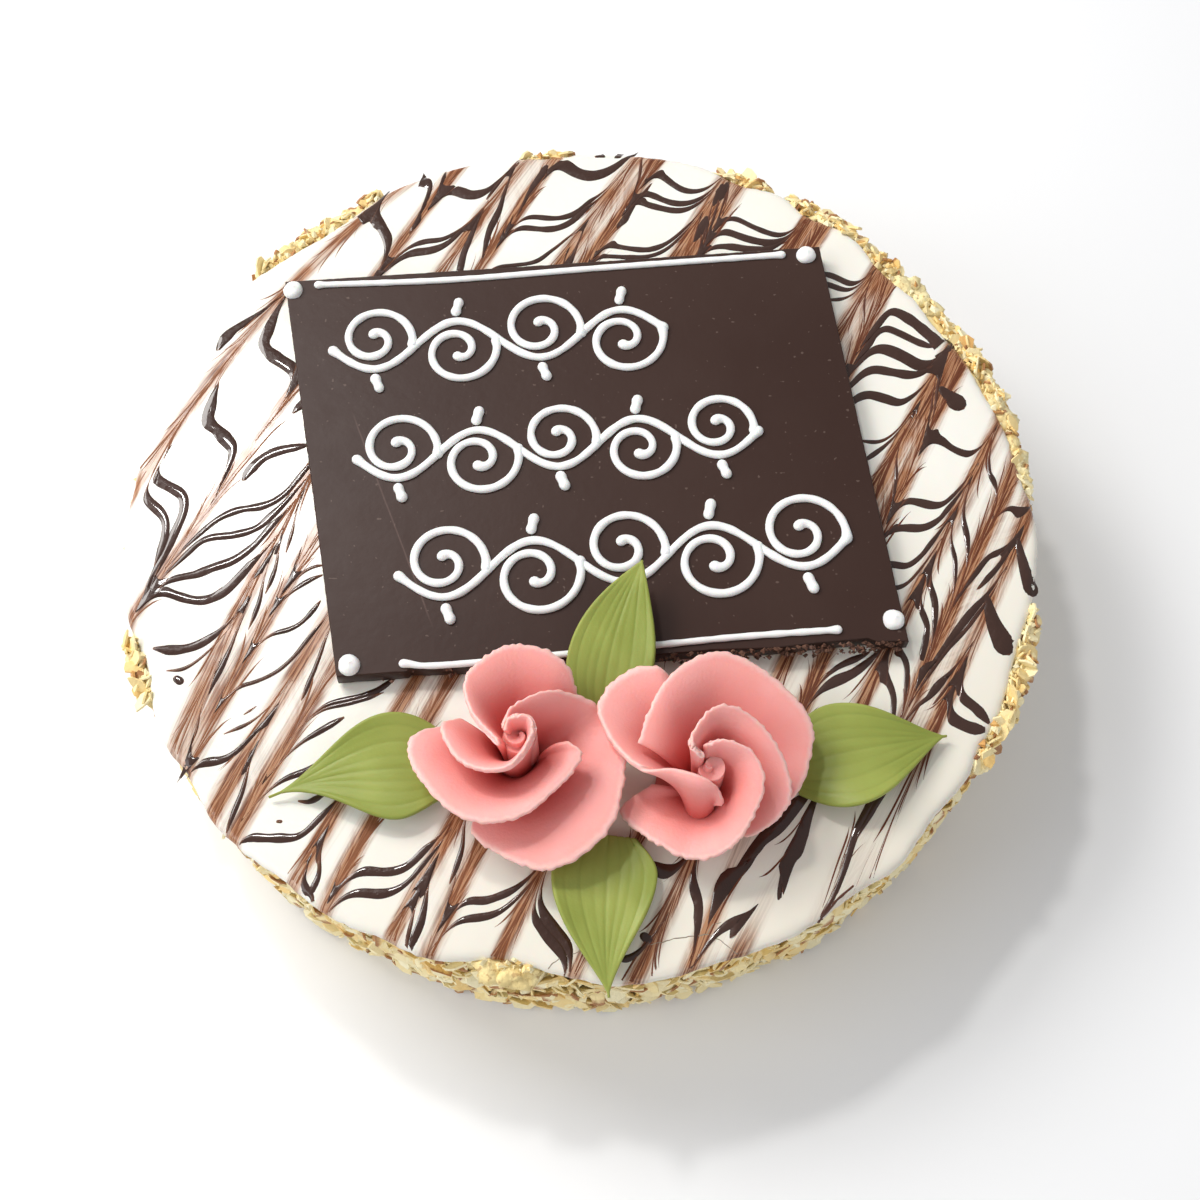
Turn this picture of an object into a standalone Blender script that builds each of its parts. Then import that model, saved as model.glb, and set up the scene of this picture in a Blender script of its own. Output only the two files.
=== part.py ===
"""Esterhazy torte: almond-coated cake, fondant skin, chocolate plaque, two marzipan roses and four leaves."""
import math
import random

import bmesh
import bpy
from mathutils import Vector

MM = 0.001

# Cake: layers of sponge and cream in one round, coated with flaked almonds
CAKE_RADIUS = 115.6 * MM
CAKE_HEIGHT = 47.0 * MM
CAKE_EDGE = 1.5 * MM
CAKE_SIDES = 96
ALMOND_ROWS = (5.6, 15.6, 25.6, 35.4, 46.4)
ALMONDS_IN_A_ROW = 28
ALMOND_LENGTH = 9.4 * MM
ALMOND_WIDTH = 7.0 * MM
ALMOND_THICKNESS = 1.2 * MM
ALMOND_SEED = 24

# Fondant skin on top of the cake
GAP = 0.3 * MM
ICING_THICKNESS = 2.7 * MM
ICING_RADIUS = 116.2 * MM
ICING_SIDES = 72
ICING_TOP = CAKE_HEIGHT + GAP + ICING_THICKNESS

# Chocolate plaque, cut by hand, so its corners are not square
PLAQUE_THICKNESS = 5.0 * MM
PLAQUE_CORNERS = {
    "front_left": (-58.8, -47.7),
    "front_right": (80.5, -38.3),
    "back_right": (65.6, 79.4),
    "back_left": (-81.0, 67.7),
}
PLAQUE_BOTTOM = ICING_TOP + GAP
PLAQUE_TOP = PLAQUE_BOTTOM + PLAQUE_THICKNESS

# White icing piped on the plaque
LINE_RADIUS = 1.05 * MM
DOT_RADIUS = 2.7 * MM
PIPING_SINK = 0.35 * MM
CORNER_DOTS = ((-78.3, 64.6), (61.5, 76.2), (77.0, -32.7), (-55.8, -44.6))
BACK_LINE = ((-71.6, 66.2), (-35.8, 67.9), (5.0, 71.8), (54.9, 76.2))
FRONT_LINE = ((-42.6, -44.3), (-31.3, -44.6), (14.7, -39.9), (39.1, -37.3), (63.1, -35.4))
VINES = (
    {"start": (-66.0, 45.0), "end": (22.0, 52.5), "waves": 4, "seed": 3},
    {"start": (-57.5, 12.0), "end": (46.0, 20.5), "waves": 5, "seed": 5},
    {"start": (-45.0, -21.0), "end": (67.0, -10.5), "waves": 5, "seed": 8},
)
STEM_STEPS = 4
CURL_STEPS = 10

# Marzipan roses: each petal is a strip with a flared rim, given by its axis and the rim's (x, y, height)
PETAL_FOOT_THICKNESS = 1.9 * MM
PETAL_RIM_THICKNESS = 1.0 * MM
PETAL_FLARE = 1.4
FOOT_HEIGHT = 2.5 * MM
FOOT_REACH = 2.4 * MM
FOOT_SHARE = 0.36
ROSE_LEFT_AXIS = (-13.6, -69.1)
ROSE_LEFT_PETALS = {
    "heart": ((-3, 1.5, 24), (-1.5, 4, 26), (3, 4, 27), (3.5, -1, 26), (-2.5, -7.5, 23),
              (-12.5, -5, 20), (-18, 4, 18), (-14, 8, 13)),
    "back": ((-4, -2, 24), (-11, 7, 21.5), (-12, 17, 20), (-1.5, 24.5, 18.5), (10.5, 21, 16), (14, 10, 9)),
    "wrap": ((-3.5, 2.5, 23), (-1, 8, 22.5), (8, 12.5, 20), (20, 10, 12), (24.5, -4, 13), (20, -19, 12.5),
             (6, -27, 10), (-10, -19, 8), (-8, -11, 6)),
    "front": ((11, 0.5, 19), (14.5, -2.5, 19), (11, -8.5, 18.5), (0, -17, 17), (-13.5, -16, 15.5),
              (-24.5, -4, 14), (-24.5, 4, 13), (-14, 8, 9)),
}
ROSE_RIGHT_AXIS = (29.0, -75.8)
ROSE_RIGHT_PETALS = {
    "heart": ((-1, 1.5, 25), (-4, 5.5, 26.5), (1.5, 13, 26), (9.5, 12.5, 23.5), (17, 4, 20), (19, -6, 15.5),
              (10.5, -12.5, 10), (5, -8, 7)),
    "wrap": ((-1, 4.5, 24.5), (4, 5.5, 25.5), (10.5, 2.5, 24), (12.5, -5.5, 20.5), (6, -15.5, 13),
             (-3, -18, 10), (-11, -14, 9), (-19.5, -6, 7), (-12, 1, 6)),
    "side": ((4, -4.5, 18), (1, -2.5, 21), (-7.5, 0.5, 20), (-15, 1, 19), (-21.5, 8, 16.5), (-24.5, 17, 15),
             (-19.5, 25, 14.5), (-10, 26.5, 15), (-4, 18, 9)),
    "back": ((-15, 7, 18), (-13, 14, 20), (-7.5, 23.5, 19.5), (2.5, 29.5, 18), (13.5, 26.5, 16),
             (24.5, 16, 13), (25, 6.5, 11), (20.5, -3.5, 10), (12, -7, 7)),
}
BUD_RADIUS = 2.6 * MM
BUD_HEIGHT = 21.0 * MM
CALYX_RADIUS = 13.0 * MM
CALYX_HEIGHT = 6.5 * MM

# Marzipan leaves: root, bend and tip of the middle rib as (x, y, height), then the widest half-width,
# where along the leaf that is, and how fast the leaf narrows after it
LEAF_THICKNESS = 1.7 * MM
LEAVES = {
    "leaf_left": {"rib": ((-31, -70, 2.0), (-49, -68, 8.0), (-73, -76.6, 1.8)), "half": 13.0, "widest": 0.32,
                  "taper": 1.9, "wave": 1.0},
    "leaf_right": {"rib": ((51, -69, 2.0), (66, -67, 8.0), (88, -61.5, 2.0)), "half": 13.0, "widest": 0.36,
                   "taper": 1.25, "wave": 1.2},
    "leaf_back": {"rib": ((6.0, -58, 4.5), (6.0, -44, 11.0), (15.3, -20.4, 13.5)), "half": 10.5, "widest": 0.40,
                  "taper": 0.9, "wave": 0.6},
    "leaf_front": {"rib": ((7.0, -86, 1.6), (4.5, -103, 6.0), (7.0, -123.2, 2.6)), "half": 12.2, "widest": 0.26,
                   "taper": 1.3, "wave": 0.8},
}


def finish_for(name, colour, roughness):
    """A Principled material with one colour and roughness."""
    material = bpy.data.materials.new(name)
    material.use_nodes = True
    shader = material.node_tree.nodes["Principled BSDF"]
    shader.inputs["Base Color"].default_value = (*colour, 1.0)
    shader.inputs["Roughness"].default_value = roughness
    shader.inputs["Metallic"].default_value = 0.0
    return material


def object_from(name, mesh_data, material=None, collection=None):
    """Turn a bmesh into an object with its faces outwards, and link it."""
    bmesh.ops.recalc_face_normals(mesh_data, faces=mesh_data.faces)
    mesh = bpy.data.meshes.new(name)
    mesh_data.to_mesh(mesh)
    mesh_data.free()
    thing = bpy.data.objects.new(name, mesh)
    if material:
        mesh.materials.append(material)
    (collection or bpy.context.scene.collection).objects.link(thing)
    return thing


def fuse(body, collection):
    """Join every object of the collection to the body as one solid, then remove them."""
    joint = body.modifiers.new("fuse", "BOOLEAN")
    joint.operation = "UNION"
    joint.solver = "MANIFOLD"
    joint.operand_type = "COLLECTION"
    joint.collection = collection
    bpy.context.view_layer.update()
    evaluated = body.evaluated_get(bpy.context.evaluated_depsgraph_get())
    fused = bpy.data.meshes.new_from_object(evaluated)
    body.modifiers.clear()
    body.data = fused
    for piece in list(collection.objects):
        bpy.data.objects.remove(piece)
    bpy.data.collections.remove(collection)
    return body


def loose_pieces(name):
    """A collection that holds what will be fused."""
    collection = bpy.data.collections.new(name)
    bpy.context.scene.collection.children.link(collection)
    return collection


def turned_solid(profile, sides, swell=lambda turn: 0.0):
    """A closed round solid from (radius, height) pairs that start and end off the axis."""
    mesh_data = bmesh.new()
    rings = []
    for radius, height in profile:
        ring = []
        for step in range(sides):
            turn = math.tau * step / sides
            reach = radius + swell(turn)
            ring.append(mesh_data.verts.new((reach * math.cos(turn), reach * math.sin(turn), height)))
        rings.append(ring)
    for low, high in zip(rings, rings[1:]):
        for step in range(sides):
            after = (step + 1) % sides
            mesh_data.faces.new((low[step], low[after], high[after], high[step]))
    mesh_data.faces.new(reversed(rings[0]))
    mesh_data.faces.new(rings[-1])
    return mesh_data


def smooth_path(points, steps):
    """Points on a Catmull-Rom curve through the given ones, evenly spread over their spans."""
    points = [Vector(point) for point in points]
    padded = [2 * points[0] - points[1], *points, 2 * points[-1] - points[-2]]
    spans = len(points) - 1
    path = []
    for step in range(steps + 1):
        place = spans * step / steps
        span = min(int(place), spans - 1)
        t = place - span
        a, b, c, d = padded[span:span + 4]
        path.append(0.5 * (2 * b + (c - a) * t + (2 * a - 5 * b + 4 * c - d) * t * t
                           + (3 * b - a - 3 * c + d) * t * t * t))
    return path


def sheet_solid(rows, thickness_at):
    """A closed solid round a grid of points; both its faces are split into triangles alike."""
    high, wide = len(rows), len(rows[0])
    mesh_data = bmesh.new()
    outer, inner = [], []
    for j in range(high):
        outer.append([])
        inner.append([])
        for i in range(wide):
            along = rows[j][min(i + 1, wide - 1)] - rows[j][max(i - 1, 0)]
            across = rows[min(j + 1, high - 1)][i] - rows[max(j - 1, 0)][i]
            normal = along.cross(across).normalized()
            half = 0.5 * thickness_at(j / (high - 1))
            outer[-1].append(mesh_data.verts.new(rows[j][i] + normal * half))
            inner[-1].append(mesh_data.verts.new(rows[j][i] - normal * half))
    for j in range(high - 1):
        for i in range(wide - 1):
            for grid in (outer, inner):
                mesh_data.faces.new((grid[j][i], grid[j][i + 1], grid[j + 1][i + 1]))
                mesh_data.faces.new((grid[j][i], grid[j + 1][i + 1], grid[j + 1][i]))
    border = [(0, i) for i in range(wide)] + [(j, wide - 1) for j in range(1, high)]
    border += [(high - 1, i) for i in range(wide - 2, -1, -1)] + [(j, 0) for j in range(high - 2, 0, -1)]
    for (j, i), (k, l) in zip(border, border[1:] + border[:1]):
        mesh_data.faces.new((outer[j][i], outer[k][l], inner[k][l]))
        mesh_data.faces.new((outer[j][i], inner[k][l], inner[j][i]))
    return mesh_data


def almond_flake(draw, turn, height, radius, lean, most_swing):
    """One flaked almond: a thin six-sided chip set into the cake's side."""
    size = draw.uniform(0.85, 1.1)
    spin = draw.uniform(0.0, math.tau)
    outward = Vector((math.cos(turn), math.sin(turn), 0.0))
    sideways = Vector((-math.sin(turn), math.cos(turn), 0.0))
    upward = Vector((0.0, 0.0, 1.0))
    facing = (outward * math.cos(lean) - upward * math.sin(lean)).normalized()
    rising = sideways.cross(facing) * -1.0
    swing = draw.uniform(-most_swing, most_swing)
    facing = (facing + sideways * swing).normalized()
    level = rising.cross(facing).normalized()
    rising = facing.cross(level).normalized()
    centre = outward * radius + upward * height
    mesh_data = bmesh.new()
    faces = []
    for side in (-0.5, 0.5):
        ring = []
        for corner in range(6):
            angle = spin + math.tau * corner / 6
            point = centre + facing * (side * ALMOND_THICKNESS)
            point += level * (0.5 * size * ALMOND_LENGTH * math.cos(angle))
            point += rising * (0.5 * size * ALMOND_WIDTH * math.sin(angle))
            ring.append(mesh_data.verts.new(point))
        faces.append(ring)
    mesh_data.faces.new(faces[0])
    mesh_data.faces.new(faces[1])
    for corner in range(6):
        after = (corner + 1) % 6
        mesh_data.faces.new((faces[0][corner], faces[0][after], faces[1][after], faces[1][corner]))
    return mesh_data


def build_cake():
    """The round cake and the almonds on its side, in one solid."""
    crumb = finish_for("toasted_almond", (0.80, 0.62, 0.32), 0.75)
    profile = (
        (CAKE_RADIUS - CAKE_EDGE, 0.0),
        (CAKE_RADIUS, CAKE_EDGE),
        (CAKE_RADIUS, CAKE_HEIGHT - CAKE_EDGE),
        (CAKE_RADIUS - CAKE_EDGE, CAKE_HEIGHT),
    )
    cake = object_from("cake_body", turned_solid(profile, CAKE_SIDES), crumb)
    draw = random.Random(ALMOND_SEED)
    flakes = loose_pieces("almonds")
    top_row = len(ALMOND_ROWS) - 1
    for row, height in enumerate(ALMOND_ROWS):
        for place in range(ALMONDS_IN_A_ROW):
            turn = math.tau * (place + 0.5 * (row % 2) + draw.uniform(-0.25, 0.25)) / ALMONDS_IN_A_ROW
            if row == top_row:
                # the topmost almonds stand up against the fondant's edge
                flake = almond_flake(draw, turn, height * MM, CAKE_RADIUS + 1.25 * MM, math.radians(24), 0.05)
            else:
                lean = math.radians(draw.choice((-1, 1)) * draw.uniform(12, 26))
                reach = CAKE_RADIUS + draw.uniform(0.2, 1.0) * MM
                flake = almond_flake(draw, turn, height * MM, reach, lean, 0.3)
            object_from("almond", flake, crumb, flakes)
    fuse(cake, flakes)


def build_icing():
    """The fondant skin, rolled over a little at its edge."""
    fondant = finish_for("fondant", (0.86, 0.84, 0.79), 0.3)
    bottom = CAKE_HEIGHT + GAP
    profile = (
        (ICING_RADIUS - 0.7 * MM, bottom),
        (ICING_RADIUS, bottom + 0.7 * MM),
        (ICING_RADIUS - 0.5 * MM, ICING_TOP - 0.7 * MM),
        (ICING_RADIUS - 2.0 * MM, ICING_TOP),
    )
    icing = object_from("icing", turned_solid(profile, ICING_SIDES), fondant)
    icing.data.shade_smooth()


def plaque_outline():
    """The plaque's outline, with the small breaks along its front edge."""
    front_left = Vector(PLAQUE_CORNERS["front_left"]) * MM
    front_right = Vector(PLAQUE_CORNERS["front_right"]) * MM
    along = front_right - front_left
    inward = Vector((-along.y, along.x)).normalized()
    breaks = ((0.0, 0.0), (0.12, 0.1), (0.125, 0.9), (0.15, 0.5), (0.27, 0.2), (0.40, 0.6), (0.52, 0.2),
              (0.66, 0.7), (0.76, 0.3), (0.84, 0.9), (0.93, 1.3), (0.945, 0.3), (1.0, 0.0))
    outline = [front_left + along * place + inward * (depth * MM) for place, depth in breaks]
    outline.append(Vector(PLAQUE_CORNERS["back_right"]) * MM)
    outline.append(Vector(PLAQUE_CORNERS["back_left"]) * MM)
    return outline


def piped_line(points, radius, ends=1.25):
    """A line of piped icing: a low round bead along the points, a little thicker at its ends."""
    points = [Vector((x, y, 0.0)) for x, y in points]
    mesh_data = bmesh.new()
    rings = []
    last = len(points) - 1
    stations = [(0, -0.7, 0.55)] + [(i, 0.0, 1.0) for i in range(last + 1)] + [(last, 0.7, 0.55)]
    for i, slide, shrink in stations:
        along = (points[min(i + 1, last)] - points[max(i - 1, 0)]).normalized()
        aside = Vector((-along.y, along.x, 0.0))
        thick = radius * shrink * (ends if i in (0, last) else 1.0)
        centre = points[i] + along * (slide * radius * ends)
        centre.z = PLAQUE_TOP + 0.45 * radius - PIPING_SINK
        ring = []
        for corner in range(5):
            angle = math.tau * (corner - 0.25) / 5 + math.pi
            ring.append(mesh_data.verts.new(centre + aside * (thick * math.cos(angle))
                                            + Vector((0, 0, 0.75 * thick * math.sin(angle)))))
        rings.append(ring)
    for before, after in zip(rings, rings[1:]):
        for corner in range(5):
            beside = (corner + 1) % 5
            mesh_data.faces.new((before[corner], before[beside], after[beside], after[corner]))
    mesh_data.faces.new(rings[0])
    mesh_data.faces.new(rings[-1])
    return mesh_data


def piped_dot(x, y, radius):
    """A dot of piped icing."""
    mesh_data = bmesh.new()
    bmesh.ops.create_uvsphere(mesh_data, u_segments=8, v_segments=4, radius=radius)
    for vert in mesh_data.verts:
        vert.co = Vector((x, y, PLAQUE_TOP + 0.25 * radius)) + Vector((vert.co.x, vert.co.y, 0.75 * vert.co.z))
    return mesh_data


def vine_strokes(vine):
    """One running scroll: a waved stem, a curl that winds on from each wave, and a drop beyond it."""
    start = Vector(vine["start"]) * MM
    end = Vector(vine["end"]) * MM
    along = (end - start).normalized()
    aside = Vector((-along.y, along.x))
    pitch = (end - start).length / vine["waves"]
    rise = 0.30 * pitch
    draw = random.Random(vine["seed"])
    stem = []
    for step in range(STEM_STEPS * vine["waves"] + 1):
        place = step / STEM_STEPS
        stem.append(start + along * (pitch * place) - aside * (rise * math.sin(math.pi * place)))
    strokes = [stem]
    for wave in range(vine["waves"]):
        side = 1 if wave % 2 == 0 else -1
        middle = start + along * (pitch * (wave + 0.5))
        centre = middle + aside * (side * 0.12 * pitch)
        size = draw.uniform(0.92, 1.04)
        curl = []
        for step in range(CURL_STEPS + 1):
            t = step / CURL_STEPS
            angle = math.radians(470 * t - 13)
            reach = pitch * size * (0.42 * (1 - t) + 0.085)
            curl.append(centre + along * (reach * math.cos(angle)) + aside * (side * reach * math.sin(angle)))
        strokes.append(curl)
        tip = middle - aside * (side * (rise + 0.14 * pitch))
        strokes.append([tip, tip - aside * (side * 0.13 * pitch) + along * (0.04 * pitch)])
    return strokes


def build_plaque():
    """The chocolate plaque with its piped dots, border lines and scrolls, in one solid."""
    chocolate = finish_for("dark_chocolate", (0.045, 0.025, 0.020), 0.35)
    mesh_data = bmesh.new()
    outline = plaque_outline()
    top = [mesh_data.verts.new((x, y, PLAQUE_TOP)) for x, y in outline]
    bottom = [mesh_data.verts.new((x, y, PLAQUE_BOTTOM)) for x, y in outline]
    mesh_data.faces.new(top)
    mesh_data.faces.new(bottom)
    for i in range(len(outline)):
        after = (i + 1) % len(outline)
        mesh_data.faces.new((top[i], top[after], bottom[after], bottom[i]))
    plaque = object_from("plaque", mesh_data, chocolate)
    piping = loose_pieces("piping")
    for x, y in CORNER_DOTS:
        object_from("dot", piped_dot(x * MM, y * MM, DOT_RADIUS), chocolate, piping)
    for line, steps in ((BACK_LINE, 12), (FRONT_LINE, 12)):
        path = smooth_path([(x * MM, y * MM, 0) for x, y in line], steps)
        object_from("line", piped_line([point.xy for point in path], LINE_RADIUS), chocolate, piping)
    for vine in VINES:
        for stroke in vine_strokes(vine):
            object_from("stroke", piped_line(stroke, LINE_RADIUS), chocolate, piping)
    fuse(plaque, piping)


def petal(axis, rim, around=15, up=3):
    """One petal, from its foot near the rose's axis up and out to its rim."""
    rim = smooth_path([Vector(point) * MM for point in rim], around)
    rows = []
    for j in range(up + 1):
        v = j / up
        row = []
        for point in rim:
            reach = math.hypot(point.x, point.y)
            foot = FOOT_REACH + FOOT_SHARE * reach
            radius = foot + (reach - foot) * v ** PETAL_FLARE
            height = FOOT_HEIGHT + (point.z - FOOT_HEIGHT) * (1 - (1 - v) ** 2)
            row.append(Vector((axis[0] * MM + point.x / reach * radius, axis[1] * MM + point.y / reach * radius,
                               ICING_TOP + height)))
        rows.append(row)
    return sheet_solid(rows, lambda v: PETAL_FOOT_THICKNESS + (PETAL_RIM_THICKNESS - PETAL_FOOT_THICKNESS) * v)


def build_rose(name, axis, petals):
    """A rose of rolled petals on a short marzipan foot."""
    pink = finish_for("pink_marzipan", (0.82, 0.33, 0.29), 0.55)
    profile = (
        (CALYX_RADIUS, GAP),
        (CALYX_RADIUS, 2.0 * MM),
        (0.62 * CALYX_RADIUS, CALYX_HEIGHT),
        (BUD_RADIUS, CALYX_HEIGHT + 2.0 * MM),
        (0.8 * BUD_RADIUS, BUD_HEIGHT),
    )
    foot = turned_solid(profile, 16)
    bmesh.ops.translate(foot, verts=foot.verts, vec=(axis[0] * MM, axis[1] * MM, ICING_TOP))
    rose = object_from(name, foot, pink)
    pieces = loose_pieces(name + "_petals")
    for petal_name, rim in petals.items():
        object_from(petal_name, petal(axis, rim), pink, pieces)
    fuse(rose, pieces)


def build_leaf(name, leaf):
    """A leaf: a thin strip along its rib, hollowed along the middle and waved at its edges."""
    green = finish_for("green_marzipan", (0.36, 0.52, 0.12), 0.5)
    root, bend, tip = (Vector(point) * MM for point in leaf["rib"])
    steps, cells = 12, 4
    rows = []
    for step in range(steps + 1):
        t = step / steps
        centre = (1 - t) ** 2 * root + 2 * t * (1 - t) * bend + t * t * tip
        ahead = 2 * (1 - t) * (bend - root) + 2 * t * (tip - bend)
        aside = Vector((-ahead.y, ahead.x, 0.0)).normalized()
        if t < leaf["widest"]:
            share = 0.55 + 0.45 * math.sin(0.5 * math.pi * t / leaf["widest"])
        else:
            past = (t - leaf["widest"]) / (1 - leaf["widest"])
            share = max(0.0, math.cos(0.5 * math.pi * past)) ** leaf["taper"]
        half = max(leaf["half"] * share * MM, 0.5 * MM)
        row = []
        for cell in range(cells + 1):
            s = 2 * cell / cells - 1
            lift = 0.10 * half * (s * s - 0.3)
            lift += leaf["wave"] * MM * s * s * share * math.sin(math.tau * 1.2 * t + 2.0 * s)
            row.append(centre + aside * (half * s) + Vector((0, 0, lift + ICING_TOP)))
        rows.append(row)
    blade = object_from(name, sheet_solid(rows, lambda v: LEAF_THICKNESS * (1.0 - 0.45 * v)), green)
    blade.data.shade_smooth()


def build_torte():
    for thing in list(bpy.data.objects):
        bpy.data.objects.remove(thing)
    build_cake()
    build_icing()
    build_plaque()
    build_rose("rose_left", ROSE_LEFT_AXIS, ROSE_LEFT_PETALS)
    build_rose("rose_right", ROSE_RIGHT_AXIS, ROSE_RIGHT_PETALS)
    for name, leaf in LEAVES.items():
        build_leaf(name, leaf)


build_torte()
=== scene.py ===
"""Looks of the Esterhazy torte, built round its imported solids. The cake is in millimetres, the room in metres."""
import math

import bpy
import numpy as np
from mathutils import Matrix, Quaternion, Vector, noise


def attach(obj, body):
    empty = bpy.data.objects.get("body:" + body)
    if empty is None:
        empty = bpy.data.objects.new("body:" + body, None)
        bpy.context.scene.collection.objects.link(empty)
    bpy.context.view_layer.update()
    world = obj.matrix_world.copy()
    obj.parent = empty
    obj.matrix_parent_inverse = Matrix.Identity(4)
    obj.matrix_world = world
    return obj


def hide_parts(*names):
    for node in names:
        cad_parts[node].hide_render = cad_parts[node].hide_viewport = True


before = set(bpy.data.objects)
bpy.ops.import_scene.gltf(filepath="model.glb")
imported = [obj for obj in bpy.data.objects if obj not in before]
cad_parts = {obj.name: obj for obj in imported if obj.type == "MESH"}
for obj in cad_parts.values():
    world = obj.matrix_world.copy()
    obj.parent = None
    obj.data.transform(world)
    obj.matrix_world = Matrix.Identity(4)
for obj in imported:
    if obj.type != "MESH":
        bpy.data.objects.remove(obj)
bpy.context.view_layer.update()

# Camera and light. The cake is seen from in front and high above, in soft daylight from a window behind it
# on the left. A small lamp beside the window glances off the chocolate, and the room adds a pale fill.
MM = 0.001
ICING_TOP = 50.0
EYE = Vector((5.0, -177.33, ICING_TOP + 343.76)) * MM
SEEN = Vector((5.0, -25.0, ICING_TOP)) * MM

scene = bpy.context.scene
camera = bpy.data.objects.new("camera", bpy.data.cameras.new("camera"))
camera.data.lens, camera.data.sensor_width = 45.0, 36.0
camera.location = EYE
camera.rotation_euler = (SEEN - EYE).to_track_quat("-Z", "Y").to_euler()
scene.collection.objects.link(camera)
scene.camera = camera
scene.view_settings.view_transform = "Standard"

CAKE_HEART = Vector((0, 0, 0.04))


def soft_light(name, place, width, height, watts, colour):
    """A rectangular soft light that faces the cake; place and sides in metres."""
    lamp = bpy.data.lights.new(name, "AREA")
    lamp.shape = "RECTANGLE"
    lamp.size, lamp.size_y = width, height
    lamp.energy = watts
    lamp.color = colour
    light = bpy.data.objects.new(name, lamp)
    light.location = place
    light.rotation_euler = (CAKE_HEART - Vector(place)).to_track_quat("-Z", "Y").to_euler()
    scene.collection.objects.link(light)


soft_light("window", (-0.75, 0.55, 0.88), 0.55, 0.45, 9.8, (1.0, 0.985, 0.96))
soft_light("lamp", (-0.32, 0.49, 0.95), 0.11, 0.08, 3.0, (1.0, 0.99, 0.97))
soft_light("room_left", (-1.1, -0.3, 0.8), 0.8, 0.8, 6.0, (0.97, 0.98, 1.0))
soft_light("room_front", (0.5, -1.2, 0.9), 1.0, 0.7, 3.2, (1.0, 0.99, 0.97))

room = bpy.data.worlds.new("soft_room")
scene.world = room
room.use_nodes = True
room_light = room.node_tree.nodes["Background"].inputs
room_light["Color"].default_value = (0.93, 0.95, 1.0, 1.0)
room_light["Strength"].default_value = 0.43


# Table: the pale, plain, dull board that the cake stands on. It is far wider than the view.
# Its finish, as every other, is laid as shader nodes: arithmetic on a Value adds the Math nodes.
class Value:
    """A socket of a material that takes part in expressions."""

    def __init__(self, finish, socket):
        self.finish = finish
        self.socket = socket

    def math(self, operation, first, second=0.0):
        return self.finish.node("ShaderNodeMath", {"operation": operation}, {0: first, 1: second})

    def __add__(self, other):
        return self.math("ADD", self, other)

    def __radd__(self, other):
        return self.math("ADD", other, self)

    def __sub__(self, other):
        return self.math("SUBTRACT", self, other)

    def __rsub__(self, other):
        return self.math("SUBTRACT", other, self)

    def __mul__(self, other):
        return self.math("MULTIPLY", self, other)

    def __rmul__(self, other):
        return self.math("MULTIPLY", other, self)

    def __abs__(self):
        return self.math("ABSOLUTE", self)

    def exp(self):
        return self.math("EXPONENT", self)

    def most(self, other):
        return self.math("MAXIMUM", self, other)

    def least(self, other):
        return self.math("MINIMUM", self, other)

    def over(self, other):
        """1 where this is the greater of the two, otherwise 0."""
        return self.math("GREATER_THAN", self, other)

    def between(self, low, high):
        """A smooth step: 0 below low, 1 above high."""
        return self.finish.node("ShaderNodeMapRange", {"interpolation_type": "SMOOTHSTEP"},
                                {"Value": self, "From Min": low, "From Max": high})


class Finish:
    """One material, with its Principled shader as surface."""

    def __init__(self, name, roughness, **sockets):
        self.material = bpy.data.materials.new(name)
        self.material.use_nodes = True
        self.tree = self.material.node_tree
        self.surface = self.tree.nodes["Principled BSDF"]
        self.surface.inputs["Roughness"].default_value = roughness
        for socket, number in sockets.items():
            self.surface.inputs[socket.replace("_", " ")].default_value = number
        place = self.node("ShaderNodeTexCoord", {}, {}, "Object")
        self.place = self.node("ShaderNodeVectorMath", {"operation": "SCALE"}, {0: place, "Scale": 1 / MM}, 0)

    def node(self, kind, settings, sockets, output=0):
        """A new node with its settings and the values or links of its sockets, given as one of its outputs."""
        made = self.tree.nodes.new(kind)
        stops = settings.get("stops")
        if stops:
            while len(made.color_ramp.elements) < len(stops):
                made.color_ramp.elements.new(1.0)
            for element, (spot, colour) in zip(made.color_ramp.elements, stops):
                element.position = spot
                element.color = (*colour, 1.0)
        for name, setting in settings.items():
            if name != "stops":
                setattr(made, name, setting)
        for name, value in sockets.items():
            self.join(made.inputs[name], value)
        return Value(self, made.outputs[output])

    def join(self, socket, value):
        """Link a Value to a socket, or set a constant on it."""
        if isinstance(value, Value):
            self.tree.links.new(value.socket, socket)
        elif socket.type == "RGBA" and len(value) == 3:
            socket.default_value = (*value, 1.0)
        else:
            socket.default_value = value

    def set(self, name, value):
        self.join(self.surface.inputs[name], value)

    def along(self, x, y, shift=0.0):
        """The distance in millimetres along a level direction."""
        dot = self.node("ShaderNodeVectorMath", {"operation": "DOT_PRODUCT"}, {0: self.place, 1: (x, y, 0)}, "Value")
        return dot + shift

    def grain(self, size, detail=2.0):
        """Noise from 0 to 1 with blotches of about this size in millimetres."""
        return self.node("ShaderNodeTexNoise", {}, {"Vector": self.place, "Scale": 1 / size, "Detail": detail})

    def blend(self, share, below, above):
        """One colour over another."""
        return self.node("ShaderNodeMix", {"data_type": "RGBA"}, {0: share, 6: below, 7: above}, 2)

    def attribute(self, name):
        return self.node("ShaderNodeAttribute", {"attribute_name": name}, {}, "Fac")

    def relief(self, height, depth):
        """Fine relief of this depth in millimetres, where height goes from 0 to 1."""
        bump = self.node("ShaderNodeBump", {}, {"Height": height, "Distance": depth * MM, "Strength": 1.0}, "Normal")
        self.set("Normal", bump)


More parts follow.
